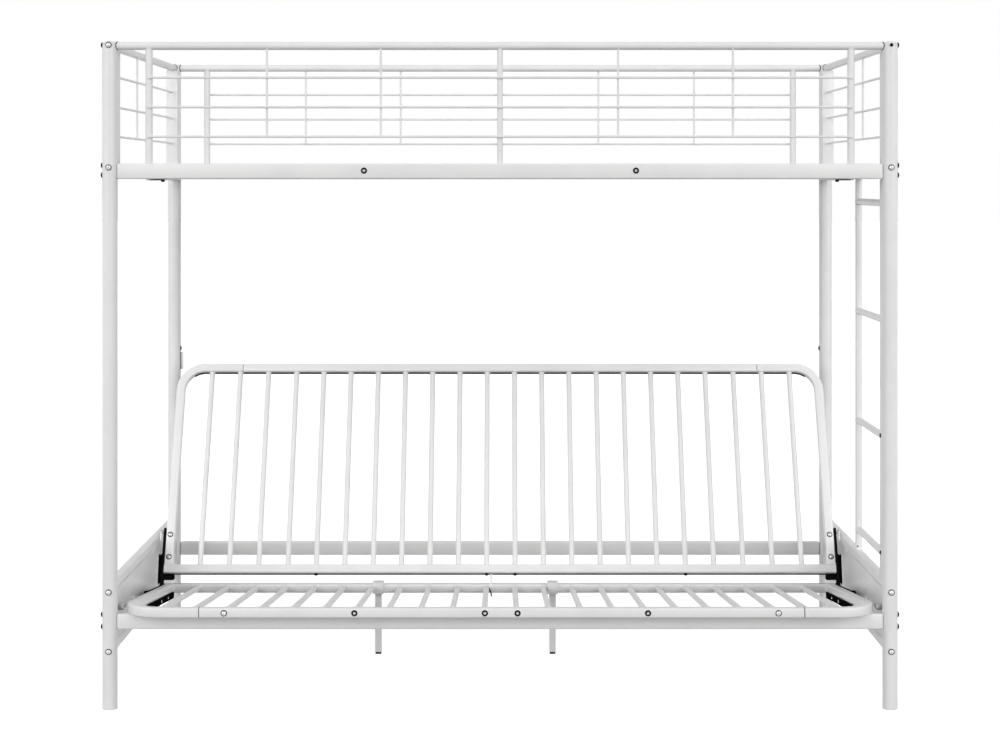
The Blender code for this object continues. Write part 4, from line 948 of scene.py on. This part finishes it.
def make_fasteners():
    """Bolt heads of the posts, rails, seat and back, with their twins at the rear."""
    bright = []
    dark = []
    for side, sign in SIDES.items():
        x = sign * POST_X
        front, rear = ([(place(depth, height, x), outward) for height in POST_FRONT_BOLT_HEIGHTS]
                       for depth, outward in ((-POST_RADIUS, -Y_AXIS), (BACK_FACE, Y_AXIS)))
        bright += (front[1:] if side == "right" else front) + rear
        for depth in ENDS.values():
            dark += [(place(depth, height, x + sign * POST_RADIUS), sign * X_AXIS)
                     for height in POST_OUTER_BOLT_HEIGHTS]
    rear_bolt = (place(BACK_FACE, POST_OUTER_BOLT_HEIGHTS[3], POST_X), Y_AXIS)
    make_bolts("post_bolts", bright, "zinc", "bunk_frame")
    make_bolts("outer_bolts", dark + [rear_bolt], "black_steel", "bunk_frame",
               ["bolt_post_left", "bolt_post_right", "bolt_post_rear"])
    faces = ((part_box("upper_side_rail_front")[0][1], -Y_AXIS),
             (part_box("upper_side_rail_rear")[1][1], Y_AXIS))
    spots = [(np.array((sign * SIDE_RAIL_BOLT_X, y, SIDE_RAIL_BOLT_HEIGHT)), outward)
             for sign in SIDES.values() for y, outward in faces]
    make_bolts("rail_bolts", spots, "zinc", "bunk_frame", radius=SCREW_HEAD_RADIUS)
    front = place(SEAT_FRONT_DEPTH - FUTON_HALF, SEAT_FRONT_HEIGHT)
    spots = [(front + x * X_AXIS, -Y_AXIS) for x in SEAT_BOLT_PLACES]
    make_bolts("seat_bolts", spots[1:-1], "zinc", "seat", ["bolt_seat_front"], SCREW_HEAD_RADIUS)
    make_bolts("seat_end_bolts", (spots[0], spots[-1]), "zinc", "seat")
    spots = [(lean(np.array((sign * BACK_SIDE_X, reach, FUTON_HALF))), np.cross(X_AXIS, BACK_UP))
             for reach in BACK_BOLT_REACHES for sign in SIDES.values()]
    make_bolts("back_bolts", spots, "zinc", "back")


def make_dark_bolts():
    """Small black bolts: right post's top, rear posts' inner sides, ladder; and its rivet."""
    heads = [bolt_head(place(-POST_RADIUS - BOLT_WASHER_HEIGHT, POST_FRONT_BOLT_HEIGHTS[0], POST_X),
                       -Y_AXIS, TOP_BOLT_RADIUS)]
    for sign in SIDES.values():
        base = place(POST_SPAN_Y, REAR_POST_BOLT_HEIGHT, sign * (POST_X - POST_RADIUS + WELD_SINK))
        heads.append(bolt_head(base, -sign * X_AXIS, REAR_POST_BOLT_RADIUS))
    low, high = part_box("ladder_front_upright")
    for height in LADDER_BOLT_HEIGHTS:
        base = np.array((low[0] - CAP_GAP, (low[1] + high[1]) / 2, height))
        heads.append(bolt_head(base + BOLT_WASHER_HEIGHT * X_AXIS, -X_AXIS, LADDER_BOLT_RADIUS))
    heads.append(flat_head(place(*LADDER_RIVET), -Y_AXIS, LADDER_RIVET_RADIUS, LADDER_RIVET_RADIUS / 2))
    make_piece("dark_bolts", heads, "black_steel", "bunk_frame")


def side_box(depths, heights, sides, sign, edge):
    """A soft box on one side of the bed, between two depths, two heights and two x."""
    near, far = sorted(sign * x for x in sides)
    return soft_box(place(depths[0], heights[0], near), place(depths[1], heights[1], far), edge)


def make_rear_strip():
    """A narrow strip on a dark shim, on the left rear post's inner side."""
    depths = (POST_SPAN_Y - REAR_STRIP_HALF_DEPTH, POST_SPAN_Y + REAR_STRIP_HALF_DEPTH)
    for name, sides, slot in (("strip", REAR_STRIP_X[:2], "white_paint"),
                              ("shim", REAR_STRIP_X[1:], "black_plastic")):
        shape = side_box(depths, REAR_STRIP_HEIGHTS, sides, SIDES["left"], FINE_EDGE)
        make_piece(f"rear_post_{name}", [shape], slot, "bunk_frame")


def make_tie():
    """A tie hooked over the seat's rear rail, and its loose tail in front of the rail, drawn black as
    painted shade.
    """
    run = np.stack([place(depth, height, TIE_X) for depth, height in TIE_RUN])
    outline = rounded_rectangle(TIE_WIDTH, TIE_THICKNESS, TIE_THICKNESS * STRAP_ROUND)
    make_piece("seat_tie", [carried(outline, run, X_AXIS)], "white_paint", "seat")
    run = np.stack([place(TAIL_DEPTH, height, x) for x, height in TAIL_RUN])
    tail = carried(circle(TAIL_RADIUS, CORD_SIDES), run, Y_AXIS)
    # The tail's black is painted shade
    make_piece("seat_tie_tail_painted_shade", [tail], "black_plastic", "seat")


def make_screw_tips():
    """Screw ends above the back's top tube, and black nuts below its bottom rail."""
    tips = []
    nuts = []
    sink = WELD_SINK * Y_AXIS
    for pitches in BACK_SCREW_PITCHES:
        x = BACK_SLAT_SHIFT + pitches * SLAT_NEAR_PITCH
        low = np.array((x, -FUTON_HALF, 0))
        high = np.array((x, BACK_SPAN + FUTON_HALF, 0))
        nuts.append(lean(rod(low - BACK_NUT_STAND * Y_AXIS, low + sink, BACK_NUT_RADIUS,
                             WIRE_SIDES, BACK_SCREW_EDGE)))
        tips.append(lean(rod(high - sink, high + BACK_SCREW_STAND * Y_AXIS, BACK_SCREW_RADIUS,
                             WIRE_SIDES, BACK_SCREW_EDGE)))
    make_piece("back_screw_tips", tips, "zinc", "back")
    make_piece("back_screw_nuts", nuts, "black_steel", "back")


def make_gap_shade_rings():
    """Painted shade: thin black rings where the guards' top tubes meet the posts, for the shadow in the
    gap there.
    """
    rings = []
    for sign in SIDES.values():
        for depth in ENDS.values():
            post = place(depth, GUARD_TOP_AXIS, sign * POST_X)
            for inward in (-sign * X_AXIS, Y_AXIS if depth == 0 else -Y_AXIS):
                rings.append(round_bead(post, inward, Z_AXIS, GUARD_RADIUS, POST_RADIUS, size=GAP_SHADE_RING))
    make_piece("guard_gap_shade_rings", [], "black_plastic", "bunk_frame", (), rings)


def make_slide_stops():
    """A grey end stop at the front of each slide track, beside the post."""
    stops = [side_box(STOP_DEPTHS, STOP_HEIGHTS, STOP_X, sign, STOP_EDGE) for sign in SIDES.values()]
    make_piece("slide_stops", stops, "zinc", "bunk_frame")


def make_bracket_fittings():
    """A nut under each bracket of the deck, and a black sleeve over the bracket's middle."""
    nuts = []
    sleeves = []
    radius, height, taper = BRACKET_NUT_RADIUS, BRACKET_NUT_HEIGHT, BRACKET_NUT_TAPER
    profile = [(0, 0), (radius, 0), (radius, height * taper), (radius * taper, height), (0, height)]
    for side, sign in SIDES.items():
        low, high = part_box(f"deck_bracket_{side}")
        base = np.array((sign * BRACKET_NUT_X, (low[1] + high[1]) / 2, low[2]))
        nuts.append(turned(profile, base, -Z_AXIS, BRACKET_NUT_SIDES))
        near, far = sorted(sign * x for x in BRACKET_SLEEVE_X)
        sleeves.append(soft_box((near, low[1] - BRACKET_SLEEVE, low[2] - BRACKET_SLEEVE / 2),
                                (far, high[1] + BRACKET_SLEEVE, high[2]), FINE_EDGE))
    make_piece("deck_bracket_nuts", nuts, "black_steel", "bunk_frame", crease=BRACKET_NUT_CREASE)
    make_piece("deck_bracket_sleeves", sleeves, "black_plastic", "bunk_frame")


# Fold mechanism

def stadium(start, end, half_width):
    """The outline of a bar with round ends between two (depth, height) points."""
    start = np.asarray(start, float)
    end = np.asarray(end, float)
    angle = math.atan2(*(end - start)[::-1])
    turn = angle + np.linspace(-math.pi / 2, math.pi / 2, ARC_STEPS)
    arc = half_width * np.stack((np.cos(turn), np.sin(turn)), axis=1)
    return np.concatenate((end + arc, start - arc))


def flat_plate(outline, sign, span):
    """A plate across X: its outline, drawn in towards its middle by an edge at both faces."""
    middle = outline.mean(axis=0)
    arm = outline - middle
    drawn_in = outline - PLATE_EDGE * arm / np.linalg.norm(arm, axis=1, keepdims=True)
    flat = np.broadcast_to(middle, outline.shape)
    rings = np.stack((flat, drawn_in, outline, outline, drawn_in, flat))
    levels = np.array((span[0], span[0], span[0] + PLATE_EDGE, span[1] - PLATE_EDGE, span[1], span[1]))
    grid = np.empty((*rings.shape[:2], 3))
    grid[:, :, 0] = sign * levels[:, None]
    grid[:, :, 1] = FRONT_Y + rings[:, :, 0]
    grid[:, :, 2] = rings[:, :, 1]
    return grid


def make_inner_plates():
    """Black plates inside the seat's side tubes: pointed in front, round behind, riveted."""
    front, taper, rear = INNER_PLATE_DEPTHS
    top, tip, bottom = INNER_PLATE_DROPS
    middle = (top + bottom) / 2
    radius = (bottom - top) / 2
    turn = np.linspace(-math.pi / 2, math.pi / 2, ARC_STEPS) - math.atan(SEAT_SLOPE)
    centre = np.array((rear - radius, seat_height(rear - radius) - middle))
    round_end = centre + radius * np.stack((np.cos(turn), np.sin(turn)), axis=1)
    flat_end = [(front, seat_height(front) - top), (front, seat_height(front) - tip),
                (taper, seat_height(taper) - bottom)]
    outline = np.concatenate((flat_end, round_end))
    rivets = []
    for side, sign in SIDES.items():
        low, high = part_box(f"seat_inner_plate_{side}")
        span = sorted((abs(low[0]), abs(high[0])))
        redraw(f"seat_inner_plate_{side}", [flat_plate(outline, sign, span)], "seat", "black_steel")
        for depth, size in INNER_RIVETS:
            base = place(depth, seat_height(depth) - middle, sign * span[0])
            rivets.append(flat_head(base, -sign * X_AXIS, size, INNER_RIVET_HEIGHT))
    make_piece("seat_plate_rivets", rivets, "zinc", "seat")


def make_links():
    """Stay links with a black band over their middle as painted shade, and the black spacers of the
    back arms.
    """
    foot = np.array(LINK_FOOT)
    head = np.array(LINK_HEAD)
    low, high = (foot + share * (head - foot) for share in LINK_SHADE_SHARES)
    for side, sign in SIDES.items():
        reaches = ((foot, LINK_X[0], LINK_STUD_X[1]),
                   (head, LINK_STUD_X[0], LINK_X[1] + LINK_HEAD_STAND))
        pivots = [rod(place(*point, sign * near), place(*point, sign * far), LINK_PIVOT_RADIUS,
                      HEAD_SIDES, LINK_PIVOT_EDGE) for point, near, far in reaches]
        link = flat_plate(stadium(foot, head, LINK_HALF_WIDTH), sign, LINK_X)
        # A black band over the link's middle as painted shade
        shade_band = flat_plate(stadium(low, high, LINK_SHADE_HALF_WIDTH), sign, LINK_SHADE_X)
        spacer = flat_plate(stadium(FOLD_PIVOT, head, ARM_HALF_WIDTH), sign, ARM_SPACER_X)
        redraw(f"stay_link_{side}", [link] + pivots, "stay_links", "zinc")
        make_piece(f"stay_link_painted_shade_{side}", [shade_band], "black_steel", "stay_links")
        make_piece(f"back_arm_spacer_{side}", [spacer], "black_steel", "back")


def make_tracks():
    """Slide tracks as low ledges along the end panels."""
    for side, sign in SIDES.items():
        centre = sign * sum(TRACK_X) / 2
        path = np.stack([place(depth, height - TRACK_DROP, centre) for depth, height in TRACK_ENDS])
        outline = rounded_rectangle(TRACK_X[1] - TRACK_X[0], TRACK_HEIGHT, TRACK_EDGE)
        redraw(f"slide_track_{side}", [carried(outline, path, X_AXIS)])


def dress_cad_nodes():
    """Give each CAD node that stays the finish of its slot."""
    slots = {part["node"]: part["material_slot"] for part in frame["record"]["subparts"]}
    for name, node in frame["nodes"].items():
        node.data.materials.clear()
        node.data.materials.append(LOOKS[slots[name]])


# Studio

def make_floor():
    """A wide floor: white where it is lit, with the shadow, and dull to light that bounces."""
    material = new_material("floor")
    nodes = material.node_tree.nodes
    link = material.node_tree.links.new
    shader = shader_of(material)
    adjust(shader, {"Roughness": 1.0, "Specular IOR Level": 0.0, "Emission Color": (1, 1, 1, 1)})
    ray = nodes.new("ShaderNodeLightPath")
    mix = nodes.new("ShaderNodeMix")
    mix.data_type = "RGBA"
    adjust(mix, {"A": (*FLOOR_BOUNCE, 1), "B": (*FLOOR_COLOUR, 1)})
    seen = nodes.new("ShaderNodeMath")
    seen.operation = "MAXIMUM"
    link(ray.outputs["Is Camera Ray"], seen.inputs[0])
    link(ray.outputs["Is Glossy Ray"], seen.inputs[1])
    link(seen.outputs["Value"], mix.inputs["Factor"])
    link(mix.outputs["Result"], shader.inputs["Base Color"])
    lift = nodes.new("ShaderNodeMath")
    lift.operation = "MULTIPLY"
    lift.inputs[1].default_value = FLOOR_LIFT
    link(seen.outputs["Value"], lift.inputs[0])
    link(lift.outputs["Value"], shader.inputs["Emission Strength"])
    half = FLOOR_HALF
    mesh = bpy.data.meshes.new("floor")
    mesh.from_pydata([(-half, -half, 0), (half, -half, 0), (half, half, 0), (-half, half, 0)], [],
                     [(0, 1, 2, 3)])
    mesh.materials.append(material)
    add_object("floor", mesh)


def make_world():
    """An even surround: white to the camera, pale to reflections, soft as light."""
    world = bpy.data.worlds.new("studio")
    bpy.context.scene.world = world
    world.use_nodes = True
    nodes = world.node_tree.nodes
    link = world.node_tree.links.new
    background = nodes["Background"]
    adjust(background, {"Color": (1, 1, 1, 1)})
    ray = nodes.new("ShaderNodeLightPath")
    shiny = nodes.new("ShaderNodeMapRange")
    adjust(shiny, {"To Min": WORLD_LIGHT, "To Max": WORLD_SHINE})
    link(ray.outputs["Is Glossy Ray"], shiny.inputs["Value"])
    strength = nodes.new("ShaderNodeMath")
    strength.operation = "MAXIMUM"
    link(ray.outputs["Is Camera Ray"], strength.inputs[0])
    link(shiny.outputs["Result"], strength.inputs[1])
    link(strength.outputs["Value"], background.inputs["Strength"])


def aim(lamp, towards):
    """Turn a lamp to shine along a direction."""
    lamp.rotation_mode = "QUATERNION"
    lamp.rotation_quaternion = Vector(towards).to_track_quat("-Z", "Y")


def make_sun(name, towards, strength, spread):
    """A soft sun that shines along a direction."""
    data = bpy.data.lights.new(name, "SUN")
    data.energy = strength
    data.angle = math.radians(spread)
    aim(add_object(name, data), towards)


def make_side_lamp(side, sign):
    """A square soft lamp beside the bed, that faces it."""
    data = bpy.data.lights.new(f"panel_{side}", "AREA")
    data.size = SIDE_LAMP_SIZE
    data.energy = SIDE_LAMP
    lamp = add_object(f"panel_{side}", data)
    lamp.location = (sign * SIDE_LAMP_PLACE[0], *SIDE_LAMP_PLACE[1:])
    aim(lamp, (-sign, 0, SIDE_LAMP_TILT))


def make_studio():
    """Camera at the photograph's place, level, with its frame shifted down, and the lamps."""
    data = bpy.data.cameras.new("camera")
    data.lens = LENS_MM
    data.sensor_width = SENSOR_MM
    data.shift_y = SHIFT_DOWN
    camera = add_object("camera", data)
    camera.location = place(-CAMERA_DISTANCE, CAMERA_HEIGHT)
    camera.rotation_euler = (math.pi / 2, 0, 0)
    bpy.context.scene.camera = camera
    make_floor()
    make_world()
    for side, sign in SIDES.items():
        make_sun(f"sun_{side}", (-sign * SUN_TOWARDS[0], *SUN_TOWARDS[1:]), SUN_FRONT, SUN_SPREAD)
        make_side_lamp(side, sign)
    make_sun("sun_top", (0, 0, -1), SUN_TOP, SUN_TOP_SPREAD)
    bpy.context.scene.view_settings.view_transform = "Standard"


for make in (make_posts, make_rails, make_long_guards, make_end_guards, make_deck, make_end_panels,
             make_ladder, make_seat, make_back, make_painted_shade_strips, make_fasteners, make_screw_tips,
             make_gap_shade_rings, make_slide_stops, make_bracket_fittings, make_dark_bolts,
             make_rear_strip, make_tie, make_inner_plates, make_links, make_tracks,
             dress_cad_nodes, make_studio):
    make()
